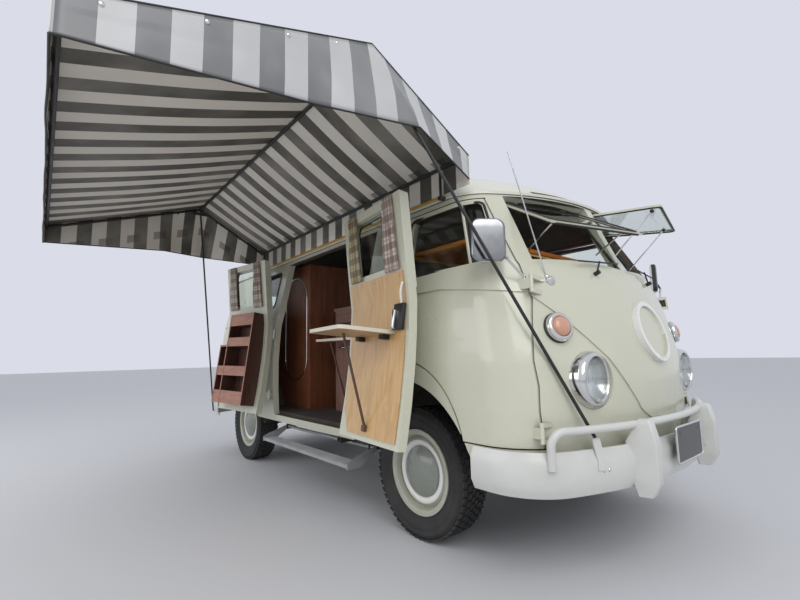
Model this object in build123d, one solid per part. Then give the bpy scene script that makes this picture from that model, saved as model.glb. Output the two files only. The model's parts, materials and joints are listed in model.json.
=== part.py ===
from build123d import *
import math
import os

# A right-hand-loading camper van with a split windscreen, its side awning up, both cargo leaves open and
# the step down. The model is built with x forward, y to the left and z up from the ground, half way between
# the axles, and every piece is moved at the end so that the origin lies below the middle of the whole.

# Vehicle, driving dimensions in millimetres
WHEELBASE = 2400
HUB_HEIGHT = 330
WHEEL_TRACK = 1374
WALL = 45
DOOR_GAP = 6
SILL_BOTTOM = 440
ROOF_SEAM = 1716
GUTTER_HEIGHT = 1740
GUTTER_LIP = 22
BELT = 1245
BELT_STEP = 7
FLOOR_TOP = 512
FLOOR_THICKNESS = 27
ARCH_RADIUS = 480
SEAT = 0.3

# Body sections, bottom to top: height, nose x, tail x, half width, nose radius, front corner, rear corner
BODY_SECTIONS = [
    (SILL_BOTTOM, 2085, -1962, 846, 1900, 250, 250),
    (520, 2108, -1985, 862, 1900, 255, 260),
    (700, 2122, -2003, 870, 1900, 260, 270),
    (900, 2116, -2008, 870, 1850, 260, 270),
    (1040, 2080, -2003, 862, 1850, 250, 270),
    (1190, 2043, -1990, 848, 1850, 235, 265),
    (1340, 1985, -1965, 812, 1850, 215, 260),
    (1540, 1893, -1905, 767, 1500, 205, 250),
    (GUTTER_HEIGHT, 1810, -1840, 722, 1150, 200, 240),
    (1800, 1738, -1800, 708, 1100, 210, 250),
    (1864, 1640, -1740, 678, 1050, 230, 270),
    (1920, 1535, -1655, 610, 1000, 250, 280),
    (1962, 1435, -1560, 510, 950, 260, 270),
    (1988, 1330, -1450, 370, 900, 230, 230),
    (2000, 1180, -1300, 200, 800, 140, 140),
]
TAIL_RADIUS = 2500

# Cargo doorway and its two leaves, hinged at the doorway's ends on axes that lean in at the top
DOORWAY_FRONT = 846
LEAF_WIDTH = 613
LEAF_MIDDLE_GAP = 12
LEAF_BOTTOM = 496
LEAF_TOP = 1694
LEAF_HINGE_OUT = 30
LEAF_HINGE_LEAN = 4.1
LEAF_FRONT_OPEN = 173
LEAF_REAR_OPEN = 171
LEAF_WINDOW = (430, 300, 1500, 45)

# Cab doors
DOOR_BOTTOM = 556
DOOR_HEAD_ROOM = (4, 12)
DOOR_TOP = 1694
DOOR_REAR = 1130
DOOR_HINGE_LOW = (1975, 800, 560)
DOOR_HINGE_HIGH = (1921, 735, 1270)

# Outside hinges: collar and pin radius, half length of the whole and of the door's sleeve
HINGE_COLLAR = 9
HINGE_PIN = 5
HINGE_HALF = 40
HINGE_MIDDLE = 22

# Windscreens swing out from their top edges
SCREEN_TOP_OUT = (1640, 565, 1690)
SCREEN_TOP_IN = (1775, 24, 1690)
SCREEN_LOW_OUT = (1864, 640, 1342)
SCREEN_LOW_IN = (1985, 24, 1342)
SCREEN_OPEN = (30, 55)
SCREEN_RAIL = 18
SCREEN_THICK = 10
SCREEN_GROOVE = 20

# Wheels
TYRE_RADIUS = 330
TYRE_WIDTH = 180
RIM_RADIUS = 200
RIM_HALF = 64
KINGPIN_Y = 600
STEER_LOCK = 26

# Fold-out step: pivot y and z, ends, tube radius
STEP_PIVOT = (-742, 388)
STEP_SPAN = (-400, 800)
STEP_TUBE = 11
STEP_FOLD = 120

# Awning
AWNING_FRONT = 1620
AWNING_REAR = -925
AWNING_INNER = (-742, 1905)
AWNING_RIDGE = (-1325, 2228)
AWNING_OUTER = (-2350, 1900)
AWNING_CLOTH = 6
AWNING_TUBE = 10
AWNING_VALANCE = 130
AWNING_DROP = AWNING_CLOTH + AWNING_TUBE + 4
AWNING_CLAMP_Y = -744.3
STRUT_REAR_FOOT = (-1850, -884, 400)

# Lower edges of the gable cloths: outer and middle corners, where the cloth lies over a strut, inner corner
GABLE_FRONT = ((-2348, 1770), (-1586, 1857), (1719, -1164, 1862), (-747, 1780))
GABLE_REAR = ((-2348, 1772), (-1586, 1815), (-1124, -1235, 1840), (-747, 1786))

# Front bumper: blade, guard tube above it and the bracket that holds the awning's front strut
BLADE_NOSE = 2190
BLADE_HALF = 900
BLADE_BOW = 1900
BLADE_CORNER = 290
BLADE_LOW, BLADE_HIGH = 380, 550
BLADE_BEVEL = (42, 20)
GUARD_TUBE = 16
GUARD_HEIGHT = 630
GUARD_INSET = 2
GUARD_TURN = 28
GUARD_BEND = 60
STRUT_TURN = math.radians(18.2)
STRUT_BRACKET_TOP = 590
STRUT_BRACKET_BACK = 24
STRUT_END_RISE = 3.7
STRUT_FRONT_FOOT = (
    BLADE_NOSE - BLADE_BOW + (BLADE_BOW - STRUT_BRACKET_BACK) * math.cos(STRUT_TURN),
    -(BLADE_BOW - STRUT_BRACKET_BACK) * math.sin(STRUT_TURN),
    STRUT_BRACKET_TOP + STRUT_END_RISE,
)

ORIGIN_SHIFT = (-70, 707, 0)


def box(x0, x1, y0, y1, z0, z1):
    """A block between two corners."""
    return Pos((x0 + x1) / 2, (y0 + y1) / 2, (z0 + z1) / 2) * Box(abs(x1 - x0), abs(y1 - y0), abs(z1 - z0))


def rod(start, end, radius):
    """A round bar between two points."""
    a, b = Vector(*start), Vector(*end)
    frame = Plane(origin=a, z_dir=(b - a).normalized())
    return extrude(frame * Circle(radius), (b - a).length)


def side_prism(points, y0, y1):
    """A prism along y over an outline given as x, z."""
    face = make_face(Polyline(*[(x, 0, z) for x, z in points], close=True))
    return Pos(0, y0, 0) * extrude(face, y1 - y0, dir=(0, 1, 0))


def mirrored(part):
    """The same piece on the other side of the van."""
    return mirror(part, about=Plane.XZ)


def both(part):
    """The piece and its mirror image, as one node."""
    return Compound(children=[*part.solids(), *mirrored(part).solids()])


def plan(z, nose, tail, half, nose_radius, front_corner, rear_corner):
    """One horizontal section of the body: bowed ends, tight corners and straight flanks."""
    reach = math.sqrt((nose_radius - front_corner) ** 2 - (half - front_corner) ** 2)
    front_x = nose - nose_radius + reach
    span = nose_radius - front_corner
    ux, uy = reach / span, (half - front_corner) / span
    front_mid = math.atan2(1 + uy, ux)
    nose_x, nose_y = nose - nose_radius + nose_radius * ux, nose_radius * uy
    corner_x = front_x + front_corner * math.cos(front_mid)
    corner_y = half - front_corner + front_corner * math.sin(front_mid)

    back = math.sqrt((TAIL_RADIUS - rear_corner) ** 2 - (half - rear_corner) ** 2)
    rear_x = tail + TAIL_RADIUS - back
    span = TAIL_RADIUS - rear_corner
    vx, vy = back / span, (half - rear_corner) / span
    rear_mid = math.atan2(1 + vy, -vx)
    tail_x, tail_y = tail + TAIL_RADIUS - TAIL_RADIUS * vx, TAIL_RADIUS * vy
    bend_x = rear_x + rear_corner * math.cos(rear_mid)
    bend_y = half - rear_corner + rear_corner * math.sin(rear_mid)

    edges = [
        ThreePointArc((nose_x, -nose_y, z), (nose, 0, z), (nose_x, nose_y, z)),
        ThreePointArc((nose_x, nose_y, z), (corner_x, corner_y, z), (front_x, half, z)),
        Line((front_x, half, z), (rear_x, half, z)),
        ThreePointArc((rear_x, half, z), (bend_x, bend_y, z), (tail_x, tail_y, z)),
        ThreePointArc((tail_x, tail_y, z), (tail, 0, z), (tail_x, -tail_y, z)),
        ThreePointArc((tail_x, -tail_y, z), (bend_x, -bend_y, z), (rear_x, -half, z)),
        Line((rear_x, -half, z), (front_x, -half, z)),
        ThreePointArc((front_x, -half, z), (corner_x, -corner_y, z), (nose_x, -nose_y, z)),
    ]
    return make_face(Wire(edges))


def body_form(inset):
    """The body's outer form moved in by inset, as a solid."""
    faces = []
    for z, nose, tail, half, bow, front, rear in BODY_SECTIONS:
        if z > GUTTER_HEIGHT:
            z -= inset
        if z == SILL_BOTTOM and inset > 0:
            z -= 20
        ends = (nose - inset, tail + inset, half - inset)
        faces.append(plan(z, *ends, bow - inset, front - inset, rear - inset))
    return loft(faces, ruled=True)


def arc_face(*pieces):
    """A face from a closed run of edges in the xz plane."""
    return make_face(Wire(list(pieces)))


def upright(x, z):
    return (x, 0, z)


# The body's form, its raised upper part and its hollow
plain_form = body_form(0)
raised_form = body_form(-BELT_STEP)
inner_form = body_form(WALL)

V_TIP = 606
V_SHOULDER_Y = 740
V_SHOULDER_Z = 1192
TOP_OF_BELT = GUTTER_HEIGHT - 4
v_edges = [
    Line((0, -960, 1200), (0, -V_SHOULDER_Y, V_SHOULDER_Z)),
    ThreePointArc((0, -V_SHOULDER_Y, V_SHOULDER_Z), (0, -440, 930), (0, -225, 680)),
    ThreePointArc((0, -225, 680), (0, 0, V_TIP), (0, 225, 680)),
    ThreePointArc((0, 225, 680), (0, 440, 930), (0, V_SHOULDER_Y, V_SHOULDER_Z)),
    Line((0, V_SHOULDER_Y, V_SHOULDER_Z), (0, 960, 1200)),
    Line((0, 960, 1200), (0, 960, TOP_OF_BELT)),
    Line((0, 960, TOP_OF_BELT), (0, -960, TOP_OF_BELT)),
    Line((0, -960, TOP_OF_BELT), (0, -960, 1200)),
]
v_region = Pos(1860, 0, 0) * extrude(make_face(Wire(v_edges)), 400, dir=(1, 0, 0))
flank_region = side_prism(
    [(-2100, BELT), (1490, BELT), (1860, 1196), (1860, TOP_OF_BELT), (-2100, TOP_OF_BELT)], -960, 960
)
outer_form = plain_form + (raised_form & v_region) + (raised_form & flank_region)
skin = outer_form - inner_form

# Outlines of the seams, seen from the side
FRONT_SEAM = [(1957, 430), (1950, 800), (1905, 1190), (1856, 1318), (1640, DOOR_TOP)]


def door_outline(grow):
    """The cab door's outline, larger all round by grow."""
    low, top = DOOR_BOTTOM - grow, DOOR_TOP + grow
    rear = DOOR_REAR - grow
    front = [(x + grow - DOOR_GAP, z) for x, z in FRONT_SEAM]
    arch = [(1620 - grow, low), (1509 - grow, 783 - grow), (rear, 905 - grow)]
    face = arc_face(
        Line(upright(front[0][0] - 4, low), upright(*front[1])),
        Line(upright(*front[1]), upright(*front[2])),
        Line(upright(*front[2]), upright(*front[3])),
        Line(upright(*front[3]), upright(front[4][0], top)),
        Line(upright(front[4][0], top), upright(rear, top)),
        Line(upright(rear, top), upright(*arch[2])),
        ThreePointArc(upright(*arch[2]), upright(*arch[1]), upright(*arch[0])),
        Line(upright(*arch[0]), upright(front[0][0] - 4, low)),
    )
    return Pos(0, 300, 0) * extrude(face, 700, dir=(0, 1, 0))


def leaf_prism(x0, x1, grow):
    """The space of one cargo leaf, or of the doorway, along y on the right side."""
    low, top = LEAF_BOTTOM - grow, LEAF_TOP + grow
    return box(x0 - grow, x1 + grow, -1000, -500, low, top)


def rounded_window(width, height, centre_x, centre_z, corner, slant=0):
    """A window's cutting prism along y, on the left side."""
    w, h = width / 2, height / 2
    points = [(centre_x - w, centre_z - h), (centre_x + w, centre_z - h),
              (centre_x + w - slant, centre_z + h), (centre_x - w, centre_z + h)]
    prism = side_prism(points, 300, 1000)
    return fillet(prism.edges().filter_by(Axis.Y), corner)


def leaf_axis(x):
    """A leaf hinge: a line leaning in at the top, just outside the flank."""
    lean = math.radians(LEAF_HINGE_LEAN)
    return Axis((x, -(870 + LEAF_HINGE_OUT), 700), (0, math.sin(lean), math.cos(lean)))


DOORWAY_REAR = DOORWAY_FRONT - 2 * LEAF_WIDTH
LEAF_SPLIT = (DOORWAY_FRONT + DOORWAY_REAR) / 2


def hinge_pair(axis, heights, carrier, door):
    """Hinge halves on one axis: the carrier's bracket with collars and pin, and the door's strap.

    carrier and door are outlines square to the axis, each from the axis to a place inside its own panel,
    given as offsets in x and y from the axis.
    """
    fixed, moving = [], []
    for height in heights:
        reach = (height - axis.position.Z) / axis.direction.Z

        def along(distance):
            return axis.position + axis.direction * (reach + distance)

        def plate(outline, low, high):
            frame = Plane(origin=along(low), x_dir=(1, 0, 0), z_dir=axis.direction)
            return extrude(frame * make_face(Polyline(*outline, close=True)), high - low)

        def collar(radius, low, high):
            return rod(tuple(along(low)), tuple(along(high)), radius)

        pin = collar(HINGE_PIN, -HINGE_HALF, HINGE_HALF)
        for low, high in ((-HINGE_HALF, -HINGE_MIDDLE), (HINGE_MIDDLE, HINGE_HALF)):
            pin += collar(HINGE_COLLAR, low, high)
            pin += plate(carrier, low, high)
        sleeve = collar(HINGE_COLLAR, SEAT - HINGE_MIDDLE, HINGE_MIDDLE - SEAT)
        sleeve += plate(door, SEAT - HINGE_MIDDLE, HINGE_MIDDLE - SEAT)
        sleeve -= collar(HINGE_PIN + SEAT, -HINGE_HALF, HINGE_HALF)
        fixed.append(pin)
        moving.append(sleeve)
    return fixed, moving


def add_all(part, pieces):
    for piece in pieces:
        part += piece
    return part


doorway = leaf_prism(DOORWAY_REAR, DOORWAY_FRONT, DOOR_GAP)
cab_door_left_space = door_outline(DOOR_GAP)

# Hinge axes and their halves: brackets on the body, straps on what swings
FRONT_LEAF_AXIS = leaf_axis(DOORWAY_FRONT)
REAR_LEAF_AXIS = leaf_axis(DOORWAY_REAR)
CAB_DOOR_AXIS = Axis(DOOR_HINGE_LOW, tuple(Vector(*DOOR_HINGE_HIGH) - Vector(*DOOR_HINGE_LOW)))
LEAF_HINGE_HEIGHTS = (640, 1120)
AHEAD = [(0, -4), (14, 54), (38, 54), (6, -4)]
BEHIND = [(-6, -4), (-38, 54), (-14, 54), (0, -4)]
front_brackets, front_straps = hinge_pair(FRONT_LEAF_AXIS, LEAF_HINGE_HEIGHTS, AHEAD, BEHIND)
rear_brackets, rear_straps = hinge_pair(REAR_LEAF_AXIS, LEAF_HINGE_HEIGHTS, BEHIND, AHEAD)
UPPER_HINGE = 1225
cab_low, cab_low_straps = hinge_pair(
    CAB_DOOR_AXIS, (622,),
    [(-6, 4), (6, 4), (6, -100), (-12, -100)],
    [(-4, 9), (4, -6), (-56, -34), (-66, -12)],
)
cab_high, cab_high_straps = hinge_pair(
    CAB_DOOR_AXIS, (UPPER_HINGE,),
    [(-6, 4), (6, 4), (-2, -112), (-16, -112)],
    [(-4, 9), (4, -6), (-58, -8), (-62, 14)],
)
cab_brackets = [b - inner_form for b in cab_low + cab_high]
cab_straps = [b - inner_form for b in cab_low_straps + cab_high_straps]
arches = Compound(children=[
    Pos(side * WHEELBASE / 2, 0, HUB_HEIGHT) * Rot(90, 0, 0) * Cylinder(ARCH_RADIUS, 2400)
    for side in (-1, 1)
])
belly = box(-2300, 2300, -1100, 1100, 400, ROOF_SEAM)
nose_space = side_prism([*FRONT_SEAM, (1640, ROOF_SEAM), (2400, ROOF_SEAM), (2400, 430)], -1100, 1100)
REAR_SEAM = -1700

# Window positions along the flank: centre x of each
SIDE_WINDOWS = [LEAF_SPLIT + LEAF_WIDTH / 2, LEAF_SPLIT - LEAF_WIDTH / 2, LEAF_SPLIT - 1.5 * LEAF_WIDTH - 30]
WINDOW_W, WINDOW_H, WINDOW_Z, WINDOW_R = LEAF_WINDOW
CAB_WINDOW = [(1190, 1345), (1790, 1345), (1636, 1668), (1190, 1668)]
cab_window = fillet(side_prism(CAB_WINDOW, 300, 1000).edges().filter_by(Axis.Y), 38)
side_window_cuts = [
    rounded_window(WINDOW_W, WINDOW_H, x, WINDOW_Z, WINDOW_R) for x in SIDE_WINDOWS
]

lower = skin & belly


def screen_corners():
    """Corners of the right windscreen in its own plane, and the plane's outward normal."""
    points = [Vector(x, -y, z) for x, y, z in (SCREEN_TOP_OUT, SCREEN_TOP_IN, SCREEN_LOW_IN, SCREEN_LOW_OUT)]
    normal = (points[1] - points[0]).cross(points[2] - points[0]).normalized()
    if normal.X < 0:
        normal = normal * -1
    corners = [p - normal * (p - points[0]).dot(normal) for p in points]
    return corners, normal


def screen_prism():
    """The right windscreen's aperture, cut square to its own plane."""
    corners, normal = screen_corners()
    face = make_face(Polyline(*corners, close=True))
    prism = extrude(face, 260, dir=normal) + extrude(face, 260, dir=normal * -1)
    return prism


def screen_hinge_rod(first, last, radius):
    """A round bar along the right windscreen's top edge, between two shares of its length."""
    corners, _ = screen_corners()
    edge = corners[1] - corners[0]
    return rod(tuple(corners[0] + edge * first), tuple(corners[0] + edge * last), radius)


FRONT_IRON_Y = 330
REAR_IRON_Y = 400
IRON_HALF = 14
IRON_LOW, IRON_HIGH = 456, 483
IRON_SLOT = box(1900, 2200, FRONT_IRON_Y - 22, FRONT_IRON_Y + 22, 400, IRON_HIGH + 5)
REAR_SLOT = box(-2200, -1800, REAR_IRON_Y - 18, REAR_IRON_Y + 18, 400, IRON_HIGH + 5)


def build_nose():
    """The nose panel up to the gutter, with the two windscreen apertures and the lamp seats."""
    part = lower & nose_space
    opening = screen_prism()
    part -= opening
    part -= mirrored(opening)
    groove = screen_hinge_rod(0, 1, SCREEN_GROOVE)
    part -= groove
    part -= mirrored(groove)
    lamp = Pos(1980, -517, 815) * Rot(0, 90, 0) * Cylinder(120.3, 260)
    part -= lamp
    part -= mirrored(lamp)
    for slot in (IRON_SLOT, mirrored(IRON_SLOT)):
        part -= slot
    for bracket in cab_brackets:
        part += bracket
        part += mirrored(bracket)
    return part


def build_side(left):
    """One flank between the nose and the rear panel, cut for doors, windows and wheel arches."""
    y0, y1 = (0, 1100) if left else (-1100, 0)
    part = lower & box(REAR_SEAM, 2300, y0, y1, 400, ROOF_SEAM)
    part -= nose_space
    part -= arches
    if left:
        part -= cab_door_left_space
        for cut in side_window_cuts:
            part -= cut
    else:
        part -= mirrored(cab_door_left_space)
        part -= doorway
        part -= mirrored(side_window_cuts[2])
        part = add_all(part, front_brackets + rear_brackets)
    return part


TAIL_GATE = (1105, 1690, 560)
ENGINE_LID = (590, 1010, 400)


GATE_HINGE = (-1876, 1702)
LID_HINGE = (-2024, 1020)


def tail_space(low, high, half, grow):
    return box(-2300, -1700, -half - grow, half + grow, low - grow, high + grow)


def tail_hinges(place, offsets, carrier, door):
    """Hinge halves on a level axis across the tail; outlines are offsets in x and z from the axis."""
    x, z = place
    fixed, moving = [], []
    for y in offsets:
        def plate(outline, low, high):
            return side_prism([(x + dx, z + dz) for dx, dz in outline], y + low, y + high)

        pin = rod((x, y - HINGE_HALF, z), (x, y + HINGE_HALF, z), HINGE_PIN)
        for low, high in ((-HINGE_HALF, -HINGE_MIDDLE), (HINGE_MIDDLE, HINGE_HALF)):
            pin += rod((x, y + low, z), (x, y + high, z), HINGE_COLLAR)
            pin += plate(carrier, low, high)
        sleeve = rod((x, y + SEAT - HINGE_MIDDLE, z), (x, y + HINGE_MIDDLE - SEAT, z), HINGE_COLLAR)
        sleeve += plate(door, SEAT - HINGE_MIDDLE, HINGE_MIDDLE - SEAT)
        sleeve -= rod((x, y - HINGE_HALF, z), (x, y + HINGE_HALF, z), HINGE_PIN + SEAT)
        fixed.append(pin - inner_form)
        moving.append(sleeve - inner_form)
    return fixed, moving


# Cooling slots high on both rear corners
LOUVRE_COUNT = 8
LOUVRE_LOW = 1006
LOUVRE_PITCH = 26
LOUVRE_HEIGHT = 10
LOUVRE_SPAN = (-1845, -1755)

TAIL_ABOVE = [(-4, -4), (-4, 5), (40, 12), (40, 2)]
TAIL_BELOW = [(-6, 4), (4, 4), (40, -14), (40, -34)]
gate_brackets, gate_straps = tail_hinges(GATE_HINGE, (-330, 330), TAIL_ABOVE, TAIL_BELOW)
lid_brackets, lid_straps = tail_hinges(LID_HINGE, (-240, 240), TAIL_ABOVE, TAIL_BELOW)


def build_rear():
    """The rear panel with its corners, cut for the tailgate and the engine lid."""
    part = lower & box(-2300, REAR_SEAM, -1100, 1100, 400, ROOF_SEAM)
    part -= arches
    part -= tail_space(*TAIL_GATE, DOOR_GAP)
    part -= tail_space(*ENGINE_LID, DOOR_GAP)
    part -= REAR_SLOT
    part -= mirrored(REAR_SLOT)
    for bracket in gate_brackets + lid_brackets:
        part += bracket
    for index in range(LOUVRE_COUNT):
        z = LOUVRE_LOW + index * LOUVRE_PITCH
        slot = box(*LOUVRE_SPAN, 700, 1000, z, z + LOUVRE_HEIGHT)
        part -= slot
        part -= mirrored(slot)
    return part


def build_roof():
    """The roof above the gutter, with the gutter's lip all round."""
    part = skin & box(-2300, 2300, -1100, 1100, ROOF_SEAM, 2100)
    row = [r for r in BODY_SECTIONS if r[0] == GUTTER_HEIGHT][0]
    z, nose, tail, half, bow, front, rear = row
    grow = GUTTER_LIP
    lip = extrude(plan(0, nose + grow, tail - grow, half + grow, bow + grow, front + grow, rear + grow), 14)
    hole = extrude(plan(0, nose - 20, tail + 20, half - 20, bow - 20, front - 20, rear - 20), 14)
    lip = Pos(0, 0, GUTTER_HEIGHT - 14) * (lip - hole)
    return part + lip


body_core = body_form(WALL + SEAT)


def tub_space(grow):
    """The four spaces that the wheelhouses fill, larger all round by grow."""
    drums = []
    for x in (-WHEELBASE / 2, WHEELBASE / 2):
        drum = Pos(x, 0, HUB_HEIGHT) * Rot(90, 0, 0) * Cylinder(ARCH_RADIUS + grow, 2400)
        for y0, y1 in ((-1100, grow - TUB_INNER), (TUB_INNER - grow, 1100)):
            drums.append(drum & box(x - 600, x + 600, y0, y1, FLOOR_TOP - FLOOR_THICKNESS, 900))
    return drums


TUB_INNER = 438
TUB_WALL = 8
tub_outer = [body_core & d for d in tub_space(TUB_WALL - 4)]
tub_hollow = tub_space(-4)


def clear_of_tubs(part):
    for drum in tub_space(TUB_WALL - 4 + SEAT):
        part -= drum
    return part


def build_floor():
    """The floor slab with its wheelhouses, the firewall before the engine and the deck over it."""
    low = FLOOR_TOP - FLOOR_THICKNESS
    part = body_core & box(-1480, 2000, -1100, 1100, low, FLOOR_TOP)
    part += body_core & box(-1500, -1480, -1100, 1100, low, 1050)
    part += body_core & box(-2100, -1480, -1100, 1100, 1030, 1050)
    for drum in tub_outer:
        part += drum
    for drum in tub_hollow:
        part -= drum
    return part


RAIL_Y = 330
JACK_PLACES = ((570, 850), (-610, 842))
JACK_HEIGHT = 422
JACK_BORE = 13
JACK_DEPTH = 120
TOW_EYE_BORE = 14
TOW_EYE_HALF = 30
TOW_EYE_THICK = 16
TOW_EYE_REACH = 65


def tow_eye(x, y, toward, top):
    """A thick level eye plate standing out from a rail or an iron, its hole upright."""
    far = y + toward * TOW_EYE_REACH
    hole = y + toward * (TOW_EYE_REACH - TOW_EYE_HALF)
    plate = box(x - TOW_EYE_HALF, x + TOW_EYE_HALF, y, far, top - TOW_EYE_THICK, top)
    return plate - rod((x, hole, top - 40), (x, hole, top + 20), TOW_EYE_BORE)


ENGINE_FRONT = -1505.3


def build_chassis():
    """Two long rails under the floor with cross members, outriggers and jacking sockets."""
    underside = FLOOR_TOP - FLOOR_THICKNESS
    part = box(-1380, 1950, RAIL_Y - 30, RAIL_Y + 30, 450, underside)
    part += box(-700, 880, RAIL_Y - 30, RAIL_Y + 30, 390, 450)
    part += box(540, 600, RAIL_Y, 796, 446, underside)
    part += box(-640, -580, RAIL_Y, 796, 446, underside)
    part += mirrored(part)
    for x in (-660, 0, 660, 1880):
        part += box(x - 25, x + 25, -RAIL_Y, RAIL_Y, 452, underside)
    part += box(-1380, -1330, -REAR_IRON_Y - IRON_HALF, REAR_IRON_Y + IRON_HALF, 452, underside)
    part += tow_eye(1915, RAIL_Y + 30, 1, 466)
    part += tow_eye(1915, -RAIL_Y - 30, -1, 466)
    for x, mouth in JACK_PLACES:
        socket = box(x - 20, x + 20, 690, mouth, JACK_HEIGHT - 18, JACK_HEIGHT + 18)
        socket += box(x - 20, x + 20, 690, 790, JACK_HEIGHT, 450)
        socket -= rod((x, mouth - JACK_DEPTH, JACK_HEIGHT), (x, mouth + 10, JACK_HEIGHT), JACK_BORE)
        part += socket
        part += mirrored(socket)
    y, z = STEP_PIVOT
    for x in (-360, 760):
        plate = box(x - 4, x + 4, y - 18, y + 62, z - 20, underside)
        plate -= rod((x - 30, y, z), (x + 30, y, z), STEP_TUBE + 0.4)
        plate += box(x - 24, x + 24, y + 14, y + 62, underside - 4, underside)
        part += plate
    return part


def build_front_axle():
    """Twin-tube beam with trailing arms and the carriers that hold the kingpins."""
    beam_x = WHEELBASE / 2 + 145
    part = rod((beam_x, -450, 265), (beam_x, 450, 265), 28)
    part += rod((beam_x, -450, 415), (beam_x, 450, 415), 28)
    half = box(beam_x - 30, beam_x + 30, RAIL_Y - 22, RAIL_Y + 22, 255, 450)
    for z in (265, 415):
        half += rod((beam_x, 440, z), (beam_x, 482, z), 36)
        pin_z = 290 if z == 265 else 370
        half += rod((beam_x, 464, z), (WHEELBASE / 2, 552, pin_z), 17)
    half += Pos(WHEELBASE / 2, KINGPIN_Y, 330) * (Cylinder(22, 136) - Cylinder(12.3, 140))
    for z in (290, 370):
        half += rod((WHEELBASE / 2, 545, z), (WHEELBASE / 2, 580, z), 17)
    return part + half + mirrored(half)


def build_knuckle_left():
    """Yoke, kingpin, backplate and stub axle of one front wheel."""
    x = WHEELBASE / 2
    part = box(x - 26, x + 26, 574, 640, 400, 416)
    part += box(x - 26, x + 26, 574, 640, 244, 260)
    part += box(x - 26, x + 26, 626, 640, 244, 416)
    part += Pos(x, KINGPIN_Y, 330) * Cylinder(12, 172)
    part += rod((x, 640, HUB_HEIGHT), (x, 730, HUB_HEIGHT), 20)
    part += rod((x, 638, HUB_HEIGHT), (x, 644, HUB_HEIGHT), 128)
    return part


def build_rear_axle():
    """Transaxle case, swing axle tubes, torsion tube and spring plates."""
    x = -WHEELBASE / 2
    case = Pos(x, 0, HUB_HEIGHT) * Rot(0, 90, 0) * Cylinder(120, 300)
    case += Pos(x + 250, 0, HUB_HEIGHT + 10) * Rot(0, 90, 0) * Cone(118, 80, 240)
    case += Pos(x - 227, 0, HUB_HEIGHT) * Rot(0, 90, 0) * Cone(148, 112, 156)
    half = rod((x, 80, HUB_HEIGHT), (x, 640, HUB_HEIGHT), 38)
    half += rod((x, 638, HUB_HEIGHT), (x, 644, HUB_HEIGHT), 128)
    half += rod((x, 640, HUB_HEIGHT), (x, 730, HUB_HEIGHT), 20)
    half += rod((x + 330, 0, 400), (x + 330, 560, 400), 36)
    spring_plate = [(x - 30, 290), (x + 50, 290), (x + 360, 372), (x + 360, 428), (x - 30, 372)]
    half += side_prism(spring_plate, 560, 572)
    half += box(x + 310, x + 350, RAIL_Y - 22, RAIL_Y + 22, 400, 450)
    return case + half + mirrored(half)


def build_tyre(x, side):
    """A chunky tyre: bead, bulged walls, shoulders and crown."""
    w, r = TYRE_WIDTH / 2, TYRE_RADIUS
    bead = RIM_RADIUS + SEAT
    half_bead = RIM_HALF - SEAT
    edges = [
        Line((bead, -half_bead), (bead + 14, -half_bead)),
        ThreePointArc((bead + 14, -half_bead), (r - 62, -w), (r - 22, -w + 8)),
        Line((r - 22, -w + 8), (r - 6, -w + 22)),
        ThreePointArc((r - 6, -w + 22), (r, 0), (r - 6, w - 22)),
        Line((r - 6, w - 22), (r - 22, w - 8)),
        ThreePointArc((r - 22, w - 8), (r - 62, w), (bead + 14, half_bead)),
        Line((bead + 14, half_bead), (bead, half_bead)),
        Line((bead, half_bead), (bead, -half_bead)),
    ]
    ring = revolve(make_face(Wire(edges)), Axis.Y)
    return Pos(x, side * WHEEL_TRACK / 2, HUB_HEIGHT) * ring


def build_wheel(x, side):
    """Pressed wheel, domed cap and brake drum as one turned form, open to the stub axle at the back."""
    r, h = RIM_RADIUS, RIM_HALF
    edges = [
        ThreePointArc((0, 84), (70, 74), (124, 52)),
        Line((124, 52), (127, 42)),
        ThreePointArc((127, 42), (142, 52), (158, 50)),
        Line((158, 50), (180, 30)),
        Line((180, 30), (187, h)),
        Line((187, h), (194, h + 7)),
        Line((194, h + 7), (r + 14, h + 7)),
        Line((r + 14, h + 7), (r + 14, h)),
        Line((r + 14, h), (r, h)),
        Line((r, h), (r, -h)),
        Line((r, -h), (r + 14, -h)),
        Line((r + 14, -h), (r + 14, -h - 6)),
        Line((r + 14, -h - 6), (192, -h - 6)),
        Line((192, -h - 6), (188, -20)),
        Line((188, -20), (166, 20)),
        Line((166, 20), (126, 20)),
        Line((126, 20), (126, -37)),
        Line((126, -37), (118, -37)),
        Line((118, -37), (118, 22)),
        Line((118, 22), (20.3, 22)),
        Line((20.3, 22), (20.3, 50)),
        Line((20.3, 50), (0, 50)),
        Line((0, 50), (0, 84)),
    ]
    wheel = revolve(make_face(Wire(edges)), Axis.Y)
    wheel = Pos(x, WHEEL_TRACK / 2, HUB_HEIGHT) * wheel
    return wheel if side > 0 else mirrored(wheel)


def bumper_blade(end, half, corner, low, high, clip_x):
    """A wrapped bumper blade lofted through four plan sections and hollowed behind."""
    rise, back = BLADE_BEVEL
    rows = [(low, back), (low + rise, 0), (high - rise, 0), (high, back)]
    bow = BLADE_BOW
    outer = [plan(z, end - i, -end + i, half - i, bow - i, corner - i, corner - i) for z, i in rows]
    t = 9
    inner = [plan(z, end - i - t, -end + i + t, half - i - t, bow - i - t, corner - i - t, corner - i - t)
             for z, i in rows]
    blade = loft(outer, ruled=True) - loft(inner, ruled=True)
    return blade & box(clip_x, 2600, -1200, 1200, low - 5, high + 5)


PLATE_X = 2215
PLATE_THICK = 3
PLATE_HOLE = 3.5
PLATE_HOLE_Y = 110
PLATE_HOLE_Z = 565


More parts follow.
